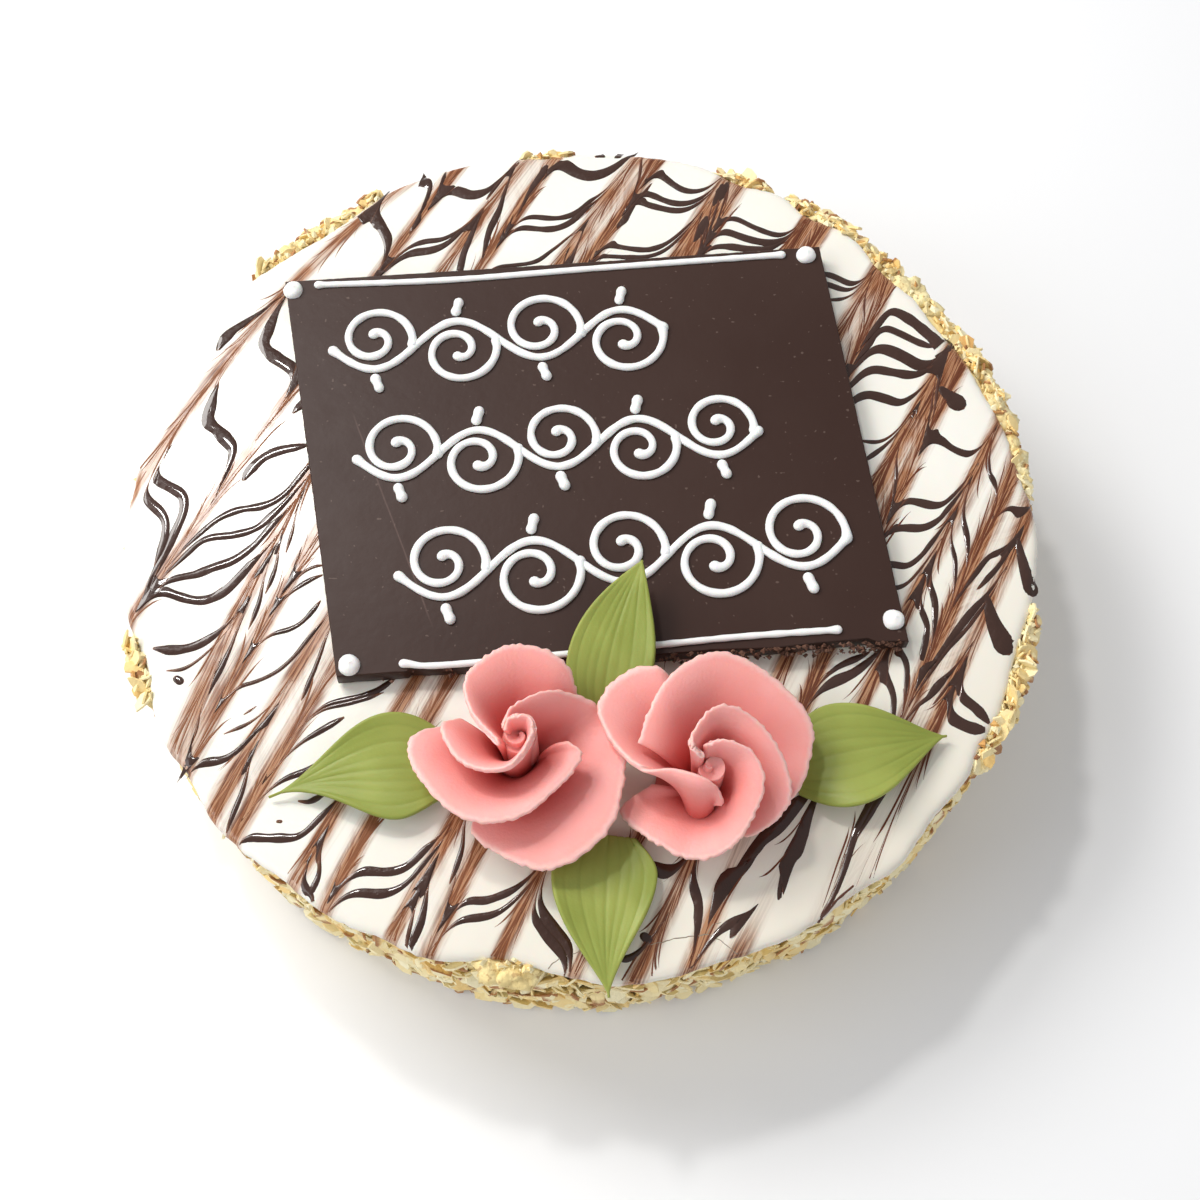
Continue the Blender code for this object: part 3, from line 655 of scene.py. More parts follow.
# the lines as they lay on the wet fondant before the skewer came: thickness, then points from left to right
WET_LINES = (
    # back right, between the plaque and the rim
    (1.3, ((65, 75), (70, 73), (74, 70), (77, 67))), (1.2, ((65, 71.5), (69, 70), (76, 66))),
    (1.0, ((67, 65.5), (72, 64.5), (76, 62))),
    (2.3, ((80.5, 58), (82.5, 61), (85, 62.2), (88.5, 60), (92.5, 56.2), (95.5, 52.3), (96.5, 47.2), (95, 41))),
    (1.7, ((78, 52), (80, 55.5), (82.8, 56.5), (86.5, 54.5), (90.5, 52), (95, 49.5))),
    (2.6, ((73, 46), (75, 48.5), (78.5, 49.8), (82, 49.5), (86.5, 47.2), (90, 44.5), (93.3, 41.7), (93.7, 36))),
    (2.0, ((72, 40), (74.5, 41.8), (78.5, 43), (83.5, 42), (87.8, 41), (92, 40.5))),
    (1.8, ((71, 32.5), (73.5, 34.2), (76.7, 35), (81, 33.7), (85, 32), (89.5, 32.8))),
    (0.8, ((73, 21), (78.3, 20), (82, 20.5), (86, 22.3))), (1.2, ((73, 14), (77.8, 16.7), (83, 18.8))),
    # right, beside the plaque
    (1.4, ((94.3, 32), (94.5, 28.3), (94.5, 23.3), (96.7, 19.4), (100.5, 16.1), (103, 12.6))),
    (1.6, ((83, 11), (83.9, 8.3), (85.6, 4.4), (88.9, 2.2), (93.3, 1.1), (97, 3))),
    (1.7, ((79, 2), (80.9, -1.7), (82.2, -3.9), (87.2, -5), (91.7, -4.1), (94.4, -1.7), (97, -3.8), (98.8, -6),
           (100, -9))),
    (1.3, ((76, -14), (79.4, -15), (82.8, -15.9), (86.1, -14.4), (89, -11.3), (92.2, -10.6), (95, -12.8),
           (96.1, -18))),
    (1.2, ((77, -21), (80, -22.2), (82.8, -21.7), (86, -19))),
    (1.6, ((82, -26), (83.9, -24.4), (87.2, -23.3), (89.1, -25.6), (89.8, -31))),
    (1.6, ((78, -33), (80.6, -30.6), (83.9, -28.9), (86.7, -31.1), (86.7, -34.4), (85, -38))),
    (1.4, ((72, -45), (74.4, -42.8), (78.3, -40.6), (80.6, -42.2), (80.9, -47))),
    (1.7, ((68.5, -52), (70.6, -50), (74.4, -47.8), (76.7, -50), (77.2, -54))),
    (2.2, ((57, -47), (62, -46.3), (67, -45), (72, -42.5))), (1.4, ((60, -43), (66, -41.5), (71, -40))),
    (1.9, ((98.5, -17), (100.6, -15), (103.9, -12.2), (106.7, -13.9), (106.1, -17.2), (103, -20), (100, -22))),
    (1.3, ((103, 14), (105, 12.2), (106.7, 10), (111, 9.2))), (0.9, ((110, 4.5), (111.7, -0.6), (111.3, -8))),
    (1.9, ((86, -39), (90, -36.1), (93.3, -33.3), (97.2, -29.4), (101.5, -26.5))),
    (1.2, ((85, -43), (91, -37.5), (96, -34), (100, -30))),
    (2.0, ((85, -55), (88.3, -53.3), (91.7, -52.2), (95.6, -53.3), (99.3, -57.5))),
    (2.4, ((84, -59), (87.8, -58.3), (91.1, -57.8), (95, -58.9), (98.9, -59.4))),
    (2.0, ((80, -47), (85, -50.5), (88, -48))), (1.6, ((75.5, -60), (75, -66), (72, -74), (68, -80))),
    # back, behind the plaque
    (2.4, ((-73, 90), (-71, 92), (-68, 94.5), (-62.5, 95.4))),
    (3.0, ((-67, 87), (-63, 91), (-58, 91), (-54.5, 87), (-51.5, 84), (-48.5, 85.5))),
    (1.7, ((-52, 101), (-50.5, 103), (-47, 105), (-43, 105.2), (-42.5, 101), (-43.5, 97))),
    (2.9, ((-37.6, 113), (-37.5, 110), (-36.5, 105), (-33, 101.5), (-28, 101), (-23.5, 103))),
    (1.3, ((-51, 83), (-48.5, 84.5), (-44, 85.2), (-39, 85.5), (-33.5, 87.5))),
    (2.5, ((-54, 78.5), (-52.5, 80.5), (-48, 81.5), (-42, 81.8), (-36, 83.5), (-32.5, 87))),
    (1.5, ((-25, 102), (-24.5, 99), (-24, 95), (-26, 89), (-26, 84))), (1.8, ((-32.5, 86), (-34, 80), (-34, 74))),
    (1.2, ((-16.5, 100), (-17, 97), (-16, 95.3), (-13, 93.8), (-8, 93), (-3, 94), (2, 98))),
    (1.4, ((-18.8, 97), (-18.5, 94), (-17, 91), (-13, 89.5), (-8, 89.3), (-3.5, 91), (0.5, 95))),
    (3.2, ((-5.6, 119), (-5.5, 116), (-4.5, 112.5), (-2, 109.5), (2, 108), (7, 108.8), (12.5, 111.5))),
    (1.8, ((3.5, 115), (7.5, 116), (12.5, 114.2))),
    (1.2, ((22.8, 116), (23, 112), (23.5, 108.5), (26, 105), (30, 102.5), (37, 101.8))),
    (1.4, ((18, 110), (18.5, 106), (19.5, 102.5), (23, 99.5), (28, 98), (36, 98.6))),
    (1.4, ((17, 106), (17.5, 102), (18.5, 98.5), (22.5, 96.5), (28, 95.5), (35, 96.6))),
    (1.2, ((8.5, 91), (9, 87), (10, 84), (14, 82.5), (19, 82.2), (24, 84), (30, 88))),
    (1.0, ((6, 88), (6.5, 84), (7.5, 81), (11, 79.8), (17, 79.6), (23, 81), (27, 84))),
    (1.2, ((41.5, 103), (42, 99), (42.5, 95), (46, 91.5), (51, 88.5), (58.5, 85))),
    (1.7, ((38.5, 97), (39, 93), (40.5, 89.5), (45, 86.5), (51, 84.5), (57.5, 83.3))),
    (1.5, ((36, 92), (36.5, 88), (37.5, 84.5), (43, 83), (50, 82), (56, 82.6))),
    (0.9, ((-26, 77), (-19, 77), (-13, 78), (-9, 81), (-5, 84))), (1.2, ((-7, 72), (-4, 77), (-5, 83))),
    (0.9, ((-30, 93), (-26, 101), (-21, 108))), (1.0, ((-14, 104), (-11, 111), (-6, 119))),
    (1.2, ((13, 94), (16, 101), (21, 108))), (1.0, ((33, 92), (36, 96), (41, 103))),
    (1.1, ((30, 84), (35, 91), (38, 93))),
    # left, beside the plaque
    (3.2, ((-86, 59), (-86, 56.5), (-86.5, 51), (-83, 47), (-78, 44.2), (-74, 45), (-70, 49.5))),
    (2.2, ((-99, 48), (-98, 50.5), (-95.5, 54.5), (-89, 57.5))),
    (2.9, ((-98.6, 36), (-99, 32), (-99, 27), (-96, 24), (-93, 21), (-90.5, 18.5), (-89.8, 14))),
    (2.0, ((-112, 8.2), (-110.5, 8.5), (-106.5, 7), (-103, 4.5), (-102, 0.5), (-103, -5), (-104.5, -11),
           (-107, -17))),
    (1.8, ((-114, 4), (-109, 0.5), (-106.5, -3), (-106, -8), (-107, -14))),
    (2.0, ((-87, 10), (-85.5, 13), (-83.5, 16), (-79, 18), (-72, 19.2))), (1.8, ((-76, 30), (-72, 35), (-70, 38))),
    (1.6, ((-99, -6), (-96.5, -4), (-93, -1.5), (-88, 0.5), (-82, 1.5), (-77, 4), (-72.5, 10))),
    (1.6, ((-101, -12), (-99.5, -10.5), (-96, -7.5), (-89, -6.8), (-83, -5), (-79.5, -2), (-75.5, 2))),
    (1.7, ((-104.5, -10), (-104, -13), (-103, -17.5), (-98, -18), (-93, -16), (-88, -14), (-83.5, -10.5),
           (-79.5, -5.5))),
    (1.9, ((-105.3, -14), (-105, -17.5), (-103.5, -22), (-99, -24.5), (-94, -25), (-89, -22.5), (-84, -16.5))),
    (1.9, ((-105.5, -38), (-101, -38.5), (-96.5, -38), (-91, -36.3))),
    (0.6, ((-101.5, -44), (-97, -43.5), (-91, -40))),
    (0.9, ((-77, -7), (-76, -5), (-74.5, -6.5), (-75, -12))),
    (0.9, ((-81, -17.5), (-78.5, -14), (-77.5, -17), (-79, -23))),
    (0.9, ((-86, -28), (-82.5, -21), (-80.5, -25), (-82, -32))),
    (1.3, ((-73, -15), (-72.5, -17), (-71, -19.5), (-65, -18))),
    (0.9, ((-77.8, -26), (-77.5, -29), (-77, -32), (-73, -33), (-69, -31), (-65.5, -26))),
    (1.0, ((-69, -7), (-69, -10), (-69, -14), (-65, -15.2))),
    (0.9, ((-83.5, -41), (-83, -44), (-80.5, -46.5), (-76, -45.5), (-72, -43), (-68, -37.5))),
    (1.0, ((-64, -36), (-65, -43), (-67, -50))), (1.1, ((-90, -38), (-87, -34), (-88, -42), (-92, -52))),
    # front
    (1.8, ((-91, -58), (-90.8, -61.5), (-90.2, -65.5), (-87, -67.2), (-82.5, -66.8), (-78.5, -63))),
    (0.7, ((-85.5, -59.8), (-82, -59), (-77, -58))), (0.8, ((-81.5, -55.5), (-79, -54))),
    (1.1, ((-84, -76), (-81, -71.5), (-80, -75), (-82, -83))),
    (1.5, ((-79, -83), (-75, -85.5), (-70, -86), (-65, -85.8), (-60.5, -82))),
    (1.0, ((-66.5, -77), (-63.5, -77.2), (-59.5, -75))),
    (1.1, ((-67, -97), (-62, -93.5), (-60.5, -95.5), (-63, -101))),
    (1.0, ((-69, -102), (-63, -99), (-60.5, -100.5), (-62, -104))),
    (1.6, ((-53, -88), (-52, -90.5), (-50, -92.8), (-45, -94), (-40, -93.2), (-36, -90))),
    (1.5, ((-57, -97.5), (-51, -98.5), (-45, -99.2), (-40, -98.2), (-37, -95))),
    (1.6, ((-42, -106), (-37, -101.2), (-36, -105), (-38.5, -112))), (1.1, ((-45, -111), (-40, -107), (-39.5, -113))),
    (1.3, ((-27, -92), (-26.5, -95), (-25.5, -98.5), (-22, -100.5), (-17, -99.5), (-12, -98))),
    (1.3, ((-30, -103.5), (-24, -104.5), (-19, -104), (-14, -102))),
    (1.9, ((-13.5, -101.5), (-9.5, -103), (-6.5, -106), (-3, -109.5), (0.5, -112.5))),
    (1.8, ((-14, -105), (-9.5, -106.5), (-6, -110), (-1.5, -114))),
    (3.2, ((17, -91.5), (21, -96), (25, -98), (28, -101), (29.5, -106))),
    (2.6, ((30, -107), (33, -105.8), (36.5, -106.5), (34.5, -110.5))),
    (4.6, ((33, -96), (38, -91), (42, -86), (47, -83), (51, -79))),
    (3.0, ((44, -102), (47, -95), (50, -90), (52, -84))),
    (1.8, ((9, -114), (13, -116), (17, -117.6))), (1.0, ((-29, -83), (-27, -88), (-29, -95))),
    (1.0, ((-63, -51.8), (-57, -51.5), (-50, -49.5), (-45, -46))), (0.8, ((-63, -53), (-57, -52.5), (-48, -50))),
    (1.2, ((-71, -71), (-65, -69.5), (-58, -66))), (1.2, ((-70, -62), (-64, -60), (-57, -56))),
)
# drops and strings that fell beside the lines and that no skewer touched: thickness at both ends, then points
STRAY_DROPS = (
    (2.7, 0.8, ((72.6, -71.4), (68.8, -78.0), (65.0, -84.8), (61.9, -93.1), (58.7, -100.1), (55.2, -105.2))),
    (0.9, 0.6, ((55.9, -104.5), (59.3, -100.8), (63.5, -97.3))),
    (2.6, 6.0, ((96.6, 36.4), (99.8, 32.8))), (2.2, 6.4, ((102.0, -24.5), (103.0, -31.0), (105.0, -36.8))),
    (1.6, 4.6, ((111.6, -8.5), (112.3, -15.0), (113.4, -21.5))), (2.2, 2.4, ((-98.6, -46.2), (-98.0, -46.6))),
    (0.9, 1.0, ((-70.8, -82.0), (-70.2, -82.0))), (2.4, 2.5, ((15.2, -109.0), (15.8, -109.4))),
    (1.5, 1.6, ((-109.0, -42.2), (-109.6, -43.0))),
)
LINE_STEP = 0.9
LINE_CREST = 0.24
PLAQUE_CORNERS = {"front_left": (-58.8, -47.7), "front_right": (80.5, -38.3), "back_right": (65.6, 79.4),
                  "back_left": (-81.0, 67.7)}


def under_plaque(x, y, margin=2.0):
    """Whether points lie under the plaque, further in than the margin."""
    inside = np.full(np.shape(x), True)
    corners = list(PLAQUE_CORNERS.values())
    for (x0, y0), (x1, y1) in zip(corners, corners[1:] + corners[:1]):
        side = math.hypot(x1 - x0, y1 - y0)
        inside &= ((x1 - x0) * (y - y0) - (y1 - y0) * (x - x0)) / side > margin
    return inside


def smooth_path(points, steps):
    """Points on a Catmull-Rom curve through the given ones, which may be flat or not."""
    points = [Vector(point) for point in points]
    padded = [2 * points[0] - points[1], *points, 2 * points[-1] - points[-2]]
    spans = len(points) - 1
    path = []
    for step in range(steps + 1):
        place = spans * step / steps
        span = min(int(place), spans - 1)
        t = place - span
        a, b, c, d = padded[span:span + 4]
        path.append(0.5 * (2 * b + (c - a) * t + (2 * a - 5 * b + 4 * c - d) * t * t
                           + (3 * b - a - 3 * c + d) * t * t * t))
    return path


def to_the_left(path):
    """The direction to the left of a path's way, at each of its points."""
    ahead = np.gradient(path, axis=0)
    ahead /= np.hypot(*ahead.T)[:, None]
    return np.stack([-ahead[:, 1], ahead[:, 0]], 1)


def walked_along(path):
    """How far along a path each of its points is."""
    return np.concatenate([[0], np.cumsum(np.hypot(*np.diff(path, axis=0).T))])


# how a ribbon rises across its width: share of the width and of the crest; at -1 it dips into the fondant
LINE_SECTION = ((0.0, -1), (0.22, 0.62), (0.5, 1.0), (0.78, 0.62), (1.0, -1))
THREAD_SECTION = ((0.0, -1), (0.5, 1.0), (1.0, -1))
EDGE_DIP = 0.05


def lay_ribbon(piece, lower, upper, section):
    """A ribbon of chocolate between its two edges, given as rows of (x, y)."""
    ahead = np.gradient(0.5 * (lower + upper), axis=0)
    ahead /= np.maximum(np.hypot(*ahead.T), 1e-6)[:, None]
    # the ribbon's real width is measured across the way it runs
    across = np.abs((upper - lower)[:, 0] * ahead[:, 1] - (upper - lower)[:, 1] * ahead[:, 0])
    crest = np.minimum(LINE_CREST, 0.24 * across)
    fade = np.clip(1.25 - across / 1.1, 0.0, 1.0)
    points = []
    for share, height in section:
        place = lower + (upper - lower) * share
        rise = crest * height if height > 0 else np.full(len(crest), -EDGE_DIP)
        points += [(x, y, skin_height(x, y) + up) for (x, y), up in zip(place, rise)]
    piece.add(points, grid_faces(len(section), len(lower)), thin=list(fade) * len(section))


def lay_shown(piece, lower, upper, section):
    """Lay the parts of a ribbon that are on the fondant and clear of the plaque."""
    middle = 0.5 * (lower + upper)
    edge = np.array([icing_edge(math.atan2(y, x)) for x, y in middle])
    shown = (np.hypot(*middle.T) < edge - 0.6) & ~under_plaque(middle[:, 0], middle[:, 1])
    runs = np.flatnonzero(np.diff(np.concatenate([[0], shown.astype(int), [0]])))
    for begin, end in zip(runs[::2], runs[1::2]):
        if end - begin > 3:
            lay_ribbon(piece, lower[begin:end], upper[begin:end], section)


def to_next_stroke(end, ahead, furthest=4.5, step=0.05):
    """The way on from a line's end to the middle of the next stroke, where its tail comes to a point."""
    # it goes on more level than the line does
    ahead = np.array([math.copysign(1.0, ahead[0]), 0.4 * (ahead[1] / np.hypot(*ahead))])
    way = end + np.arange(step, furthest, step)[:, None] * ahead
    last = 0
    for stroke in strokes:
        side = stroke.aside(way[:, 0], way[:, 1])
        crossed = np.flatnonzero(side[:-1] * side[1:] <= 0)
        if len(crossed) and (last == 0 or crossed[0] < last):
            last = crossed[0] + 2
    return way[:last]


STEPS_PER_SPAN = 120
BEND_PER_STEP = 0.30
lines = Piece()
for number, (thickness, points) in enumerate(WET_LINES):
    path = np.array(smooth_path(points, STEPS_PER_SPAN * (len(points) - 1)))
    path = np.concatenate([to_next_stroke(path[0], path[0] - path[4])[::-1], path,
                           to_next_stroke(path[-1], path[-1] - path[-5])])
    aside = to_the_left(path)
    # points are set closer together where the feathered line bends
    moved = np.stack(feathered(*path.T), 1)
    steps = np.diff(moved, axis=0)
    bends = np.abs(np.diff(np.unwrap(np.arctan2(*steps.T))))
    effort = np.cumsum(np.hypot(*steps.T) / LINE_STEP + np.append(bends, 0) / BEND_PER_STEP)
    effort = np.concatenate([[0], effort])
    places = np.arange(len(path))
    wanted = np.interp(np.linspace(0, effort[-1], max(8, int(effort[-1]))), effort, places)
    path, aside = (np.stack([np.interp(wanted, places, row) for row in rows.T], 1) for rows in (path, aside))
    walked = walked_along(path)
    taper = np.clip(0.12 + np.minimum(walked, walked[-1] - walked) / 4.0, 0, 1) ** 0.6
    beads = np.array([wobble(x, y, number * 6.8, 4) for x, y in path])
    # a thick line spreads less for its size than a thin one
    spread = 1.42 * min(thickness, 2.2) + 0.7 * max(0.0, thickness - 2.2) + 0.4
    half = (0.5 * spread * (1 + 0.25 * beads) * taper)[:, None] * aside
    lay_shown(lines, np.stack(feathered(*(path - half).T), 1), np.stack(feathered(*(path + half).T), 1), LINE_SECTION)

# a drop's round end: how far on from the end, as a share of its radius, and how wide there
ROUND_END = ((0.5, 0.87), (0.85, 0.55), (1, 0.05))
DROP_STEPS = 24
for begin_thick, end_thick, points in STRAY_DROPS:
    path = np.array(smooth_path(points, DROP_STEPS))
    aside = to_the_left(path)
    ahead = np.stack([aside[:, 1], -aside[:, 0]], 1)
    path = np.concatenate([[path[0] - ahead[0] * begin_thick * 0.5 * on for on, wide in reversed(ROUND_END)], path,
                           [path[-1] + ahead[-1] * end_thick * 0.5 * on for on, wide in ROUND_END]])
    thick = np.concatenate([[begin_thick * wide for on, wide in reversed(ROUND_END)],
                            np.linspace(begin_thick, end_thick, DROP_STEPS + 1),
                            [end_thick * wide for on, wide in ROUND_END]])
    half = (0.5 * thick)[:, None] * np.concatenate([[aside[0]] * 3, aside, [aside[-1]] * 3])
    lay_ribbon(lines, path - half, path + half, LINE_SECTION)
lines.finish("feathered_lines", chocolate, "chocolate_line")

# Cracks: near the front rim the set fondant has split. The cracks are fine and crooked; each is laid as a thin ribbon
# coloured with painted shade for the dark of its gap.
CRACKS = (
    ((-8.5, -117.6), (-5.9, -115.3), (-2.9, -113.3), (0.9, -112.2)),
    ((12.3, -112.9), (16.4, -110.8), (20.9, -109.7), (25.5, -109.0), (29.2, -108.6), (32.3, -109.9), (35.2, -112.0),
     (38.1, -113.5)),
    ((29.2, -108.6), (30.6, -106.5), (32.9, -105.4)),
)
cracks = Piece()
for number, points in enumerate(CRACKS):
    path = np.array(smooth_path(points, 16 * len(points)))
    path += [(0.35 * wobble(x, y, number, 1.6), 0.35 * wobble(y, x, number, 1.6)) for x, y in path]
    gap = np.array([0.34 + 0.3 * abs(wobble(x, y, 7, 3.0)) for x, y in path])
    gap *= np.sin(np.linspace(0.1, math.pi - 0.1, len(path))) ** 0.5
    half = (0.5 * gap)[:, None] * to_the_left(path)
    lay_shown(cracks, path - half, path + half, THREAD_SECTION)
# painted shade: the dark of the cracks' gaps
crack_shade = Finish("painted_crack_shade", 0.7)
crack_shade.set("Base Color", crack_shade.blend(crack_shade.grain(2.0), (0.36, 0.30, 0.22), (0.16, 0.12, 0.08)))
cracks.finish("fondant_cracks", crack_shade, "fondant")

# Threads: chocolate that the skewer drew out along its way. Each leaves the stroke's flank and comes to a point
# in the middle, in the direction the skewer went.
drawn_out = Finish("drawn_chocolate", 0.5, Specular_IOR_Level=0.2)
# painted light: the threads' brown is lighter on the left, where the window's light falls
drawn_brown_and_painted_light = drawn_out.blend(drawn_out.along(1, 0).between(-85, 50), (0.270, 0.100, 0.040), (0.150, 0.042, 0.017))
drawn_dark = drawn_out.blend(drawn_out.grain(9.0), drawn_brown_and_painted_light, (0.060, 0.020, 0.011))
drawn_out.set("Base Color", drawn_out.blend(drawn_out.attribute("thin"), drawn_dark, drawn_brown_and_painted_light))
THREADS_PER_MM = 0.32
PLAIN_REACH = 28
BARE_BELOW = -0.28
plain_stroke_end = strokes[15]
random_threads = np.random.default_rng(5)
threads = Piece()
for stroke in strokes:
    ahead, right, front = (np.array(way) for way in (stroke.ahead, stroke.right, stroke.front))
    for count in range(int(THREADS_PER_MM * stroke.reach)):
        tip = random_threads.uniform(-8, stroke.reach + 8)
        length = random_threads.uniform(12, 46)
        flank = random_threads.choice((-1, 1)) * random_threads.uniform(0.3, 1.75)
        width = random_threads.uniform(0.18, 0.72)
        # from the thread's root to its tip at 1, while it closes in on the stroke's middle
        drawn = np.linspace(0.09, 1.0, 34)
        along = tip - math.copysign(length, stroke.pull) * (1 - drawn)
        share = along / stroke.reach
        off = flank * np.log(1 / drawn) + random_threads.normal(0, 0.25) + stroke.bow * 4 * share * (1 - share)
        off += [0.3 * wobble(place, tip, 0, 11) for place in along]
        path = front + along[:, None] * ahead + off[:, None] * right
        # some patches stay bare, and the plain spot keeps few threads but for the stroke that ends there
        x, y = path[20]
        plain = math.dist((x, y), PLAIN_SPOT) < PLAIN_REACH and stroke is not plain_stroke_end
        if wobble(x, y, 3, 24) < BARE_BELOW or (count % 4 and plain):
            continue
        thick = width * np.minimum(1, (drawn - 0.06) * 7) * (0.30 + 0.70 * (1 - drawn ** 3))
        half = (0.5 * thick)[:, None] * to_the_left(path)
        lay_shown(threads, path - half, path + half, THREAD_SECTION)
threads.finish("drawn_threads", drawn_out, "chocolate_line")


# Plaque: a slab of dark chocolate cut from a sheet with a knife, so its edges are a little rough.
# The front edge has broken in places, and some crumbs of it lie below.
PLAQUE_BOTTOM = 50.3
PLAQUE_TOP = 55.3
slab_finish = Finish("dark_chocolate", 0.4, Specular_IOR_Level=0.19)
cloudy = slab_finish.grain(60.0, 3.0).between(0.3, 0.7)
specks = slab_finish.grain(1.1, 0.0).between(0.80, 0.84)
slab_colour = slab_finish.blend(cloudy, (0.040, 0.019, 0.014), (0.047, 0.024, 0.018))
slab_colour = slab_finish.blend(specks * 0.5, slab_colour, (0.16, 0.11, 0.09))
# a long faint scratch runs from back to front on the left
scratch = abs(slab_finish.along(0.9315, 0.364, 45.85) + slab_finish.grain(12.0) * 0.5)
scratch = 1 - scratch.between(0.05, 0.32)
scratch = scratch * slab_finish.along(0, 1).between(-36, -28) * slab_finish.along(0, -1).between(-28, -20)
slab_finish.set("Base Color", slab_finish.blend(scratch * 0.35, slab_colour, (0.16, 0.10, 0.085)))
slab_finish.set("Roughness", 0.36 + 0.10 * slab_finish.grain(8.0, 3.0))
slab_finish.relief(slab_finish.grain(3.0, 3.0), 0.05)

# the front edge's breaks: share of the way from left to right, and depth
FRONT_BREAKS = ((0.0, 0.0), (0.12, 0.1), (0.125, 0.9), (0.15, 0.5), (0.27, 0.2), (0.40, 0.6), (0.52, 0.2),
                (0.66, 0.7), (0.76, 0.3), (0.84, 0.9), (0.93, 1.3), (0.945, 0.3), (1.0, 0.0))
# the slab's rings from its bottom edge to its top: how far in, and height
SLAB_RINGS = ((0.5, PLAQUE_BOTTOM), (0.05, PLAQUE_BOTTOM + 0.6), (0.05, PLAQUE_TOP - 2.0), (0.1, PLAQUE_TOP - 0.5),
              (0.25, PLAQUE_TOP - 0.12), (0.5, PLAQUE_TOP), (0.9, PLAQUE_TOP))
TOP_RINGS = (0.75, 0.5, 0.25, 0.001)
front_left, front_right = Vector(PLAQUE_CORNERS["front_left"]), Vector(PLAQUE_CORNERS["front_right"])
front_edge = front_right - front_left
inward = Vector((-front_edge.y, front_edge.x)).normalized()
corners = [front_left + front_edge * place + inward * depth for place, depth in FRONT_BREAKS]
corners += [Vector(PLAQUE_CORNERS["back_right"]), Vector(PLAQUE_CORNERS["back_left"])]
outline = []
for begin, end in zip(corners, corners[1:] + corners[:1]):
    # about a point each millimetre
    steps = max(1, round((end - begin).length))
    outline += [begin + (end - begin) * (step / steps) for step in range(steps)]

slab = Piece()
middle = sum(outline, Vector((0, 0))) / len(outline)
for inset, height in SLAB_RINGS:
    for point in outline:
        rough = 0.25 * wobble(point.x, point.y, height * 3, 2.0)
        place = point + (middle - point).normalized() * (inset + abs(rough))
        slab.points.append((place.x, place.y, height))
last_ring = slab.points[-len(outline):]
for share in TOP_RINGS:
    for x, y, height in last_ring:
        place = middle + (Vector((x, y)) - middle) * share
        slab.points.append((place.x, place.y, height))
slab.faces = grid_faces(len(SLAB_RINGS) + len(TOP_RINGS), len(outline), closed=True)
slab.faces.append(tuple(reversed(range(len(outline)))))
slab_thing = slab.finish("plaque_slab", slab_finish, "dark_chocolate", ["plaque"])
for face in slab_thing.data.polygons:
    face.use_smooth = abs(face.normal.z) < 0.99

# Splinters: crumbs of dark chocolate that stay along the front edge where the knife broke it,
# more of them towards the right.
SPLINTERS = 230
broken = Finish("broken_chocolate", 0.6, Specular_IOR_Level=0.2)
broken_grain = broken.grain(0.9, 2.0).between(0.35, 0.65)
broken.set("Base Color", broken.blend(broken_grain, (0.050, 0.022, 0.015), (0.170, 0.085, 0.055)))
random_splinters = np.random.default_rng(11)
splinters = Piece()
for count in range(SPLINTERS):
    place = 0.985 * random_splinters.beta(2.2, 0.9)
    spot = front_left + front_edge * place
    depth = random_splinters.uniform(-1.3, 0.5)
    middle = Vector((spot.x + 0.1 * depth, spot.y + depth, PLAQUE_TOP - 0.15 - 1.6 * max(0.0, -depth)
                     - random_splinters.uniform(0.0, 0.4)))
    size = random_splinters.uniform(0.25, 0.95)
    splinters.add(chip_corners(random_splinters, middle, size, wide=1.3, tall=0.8), CHIP_FACES)
splinters.finish("plaque_splinters", broken, "dark_chocolate", smooth=False)


# Piping: white royal icing pressed through a small paper cone onto the plaque. Each line is a round bead,
# thicker where the hand stopped; each dot ends in a small peak.
royal = Finish("white_piping", 0.42, Subsurface_Weight=0.1, Subsurface_Scale=0.0015)
royal.set("Base Color", (0.90, 0.895, 0.87))
royal.relief(royal.grain(2.5, 2.0), 0.12)
SCROLL_RADIUS = 1.05
BORDER_RADIUS = 0.85
DOT_RADIUS = 2.7
PIPE_STEP = 0.6
CORNER_DOTS = ((-78.3, 64.6), (61.5, 76.2), (77.0, -32.7), (-55.8, -44.6))
BACK_LINE = ((-71.6, 66.2), (-35.8, 67.9), (5.0, 71.8), (54.9, 76.2))
FRONT_LINE = ((-42.6, -44.3), (-31.3, -44.6), (14.7, -39.9), (39.1, -37.3), (63.1, -35.4))
STEM_STEPS = 24
CURL_STEPS = 60
CURL_START = -13
CURL_DEGREES = 470
# the rows of scrolls: start, end, number of waves, and seed of their sizes
VINES = (
    {"start": (-66.0, 45.0), "end": (22.0, 52.5), "waves": 4, "seed": 3},
    {"start": (-57.5, 12.0), "end": (46.0, 20.5), "waves": 5, "seed": 5},
    {"start": (-45.0, -21.0), "end": (67.0, -10.5), "waves": 5, "seed": 8},
)


def evenly(path, step):
    """The same path with points a step apart."""
    path = np.array([tuple(point) for point in path])
    walked = walked_along(path)
    marks = np.linspace(0, walked[-1], max(3, round(walked[-1] / step)) + 1)
    return [Vector(point) for point in zip(*(np.interp(marks, walked, row) for row in path.T))]


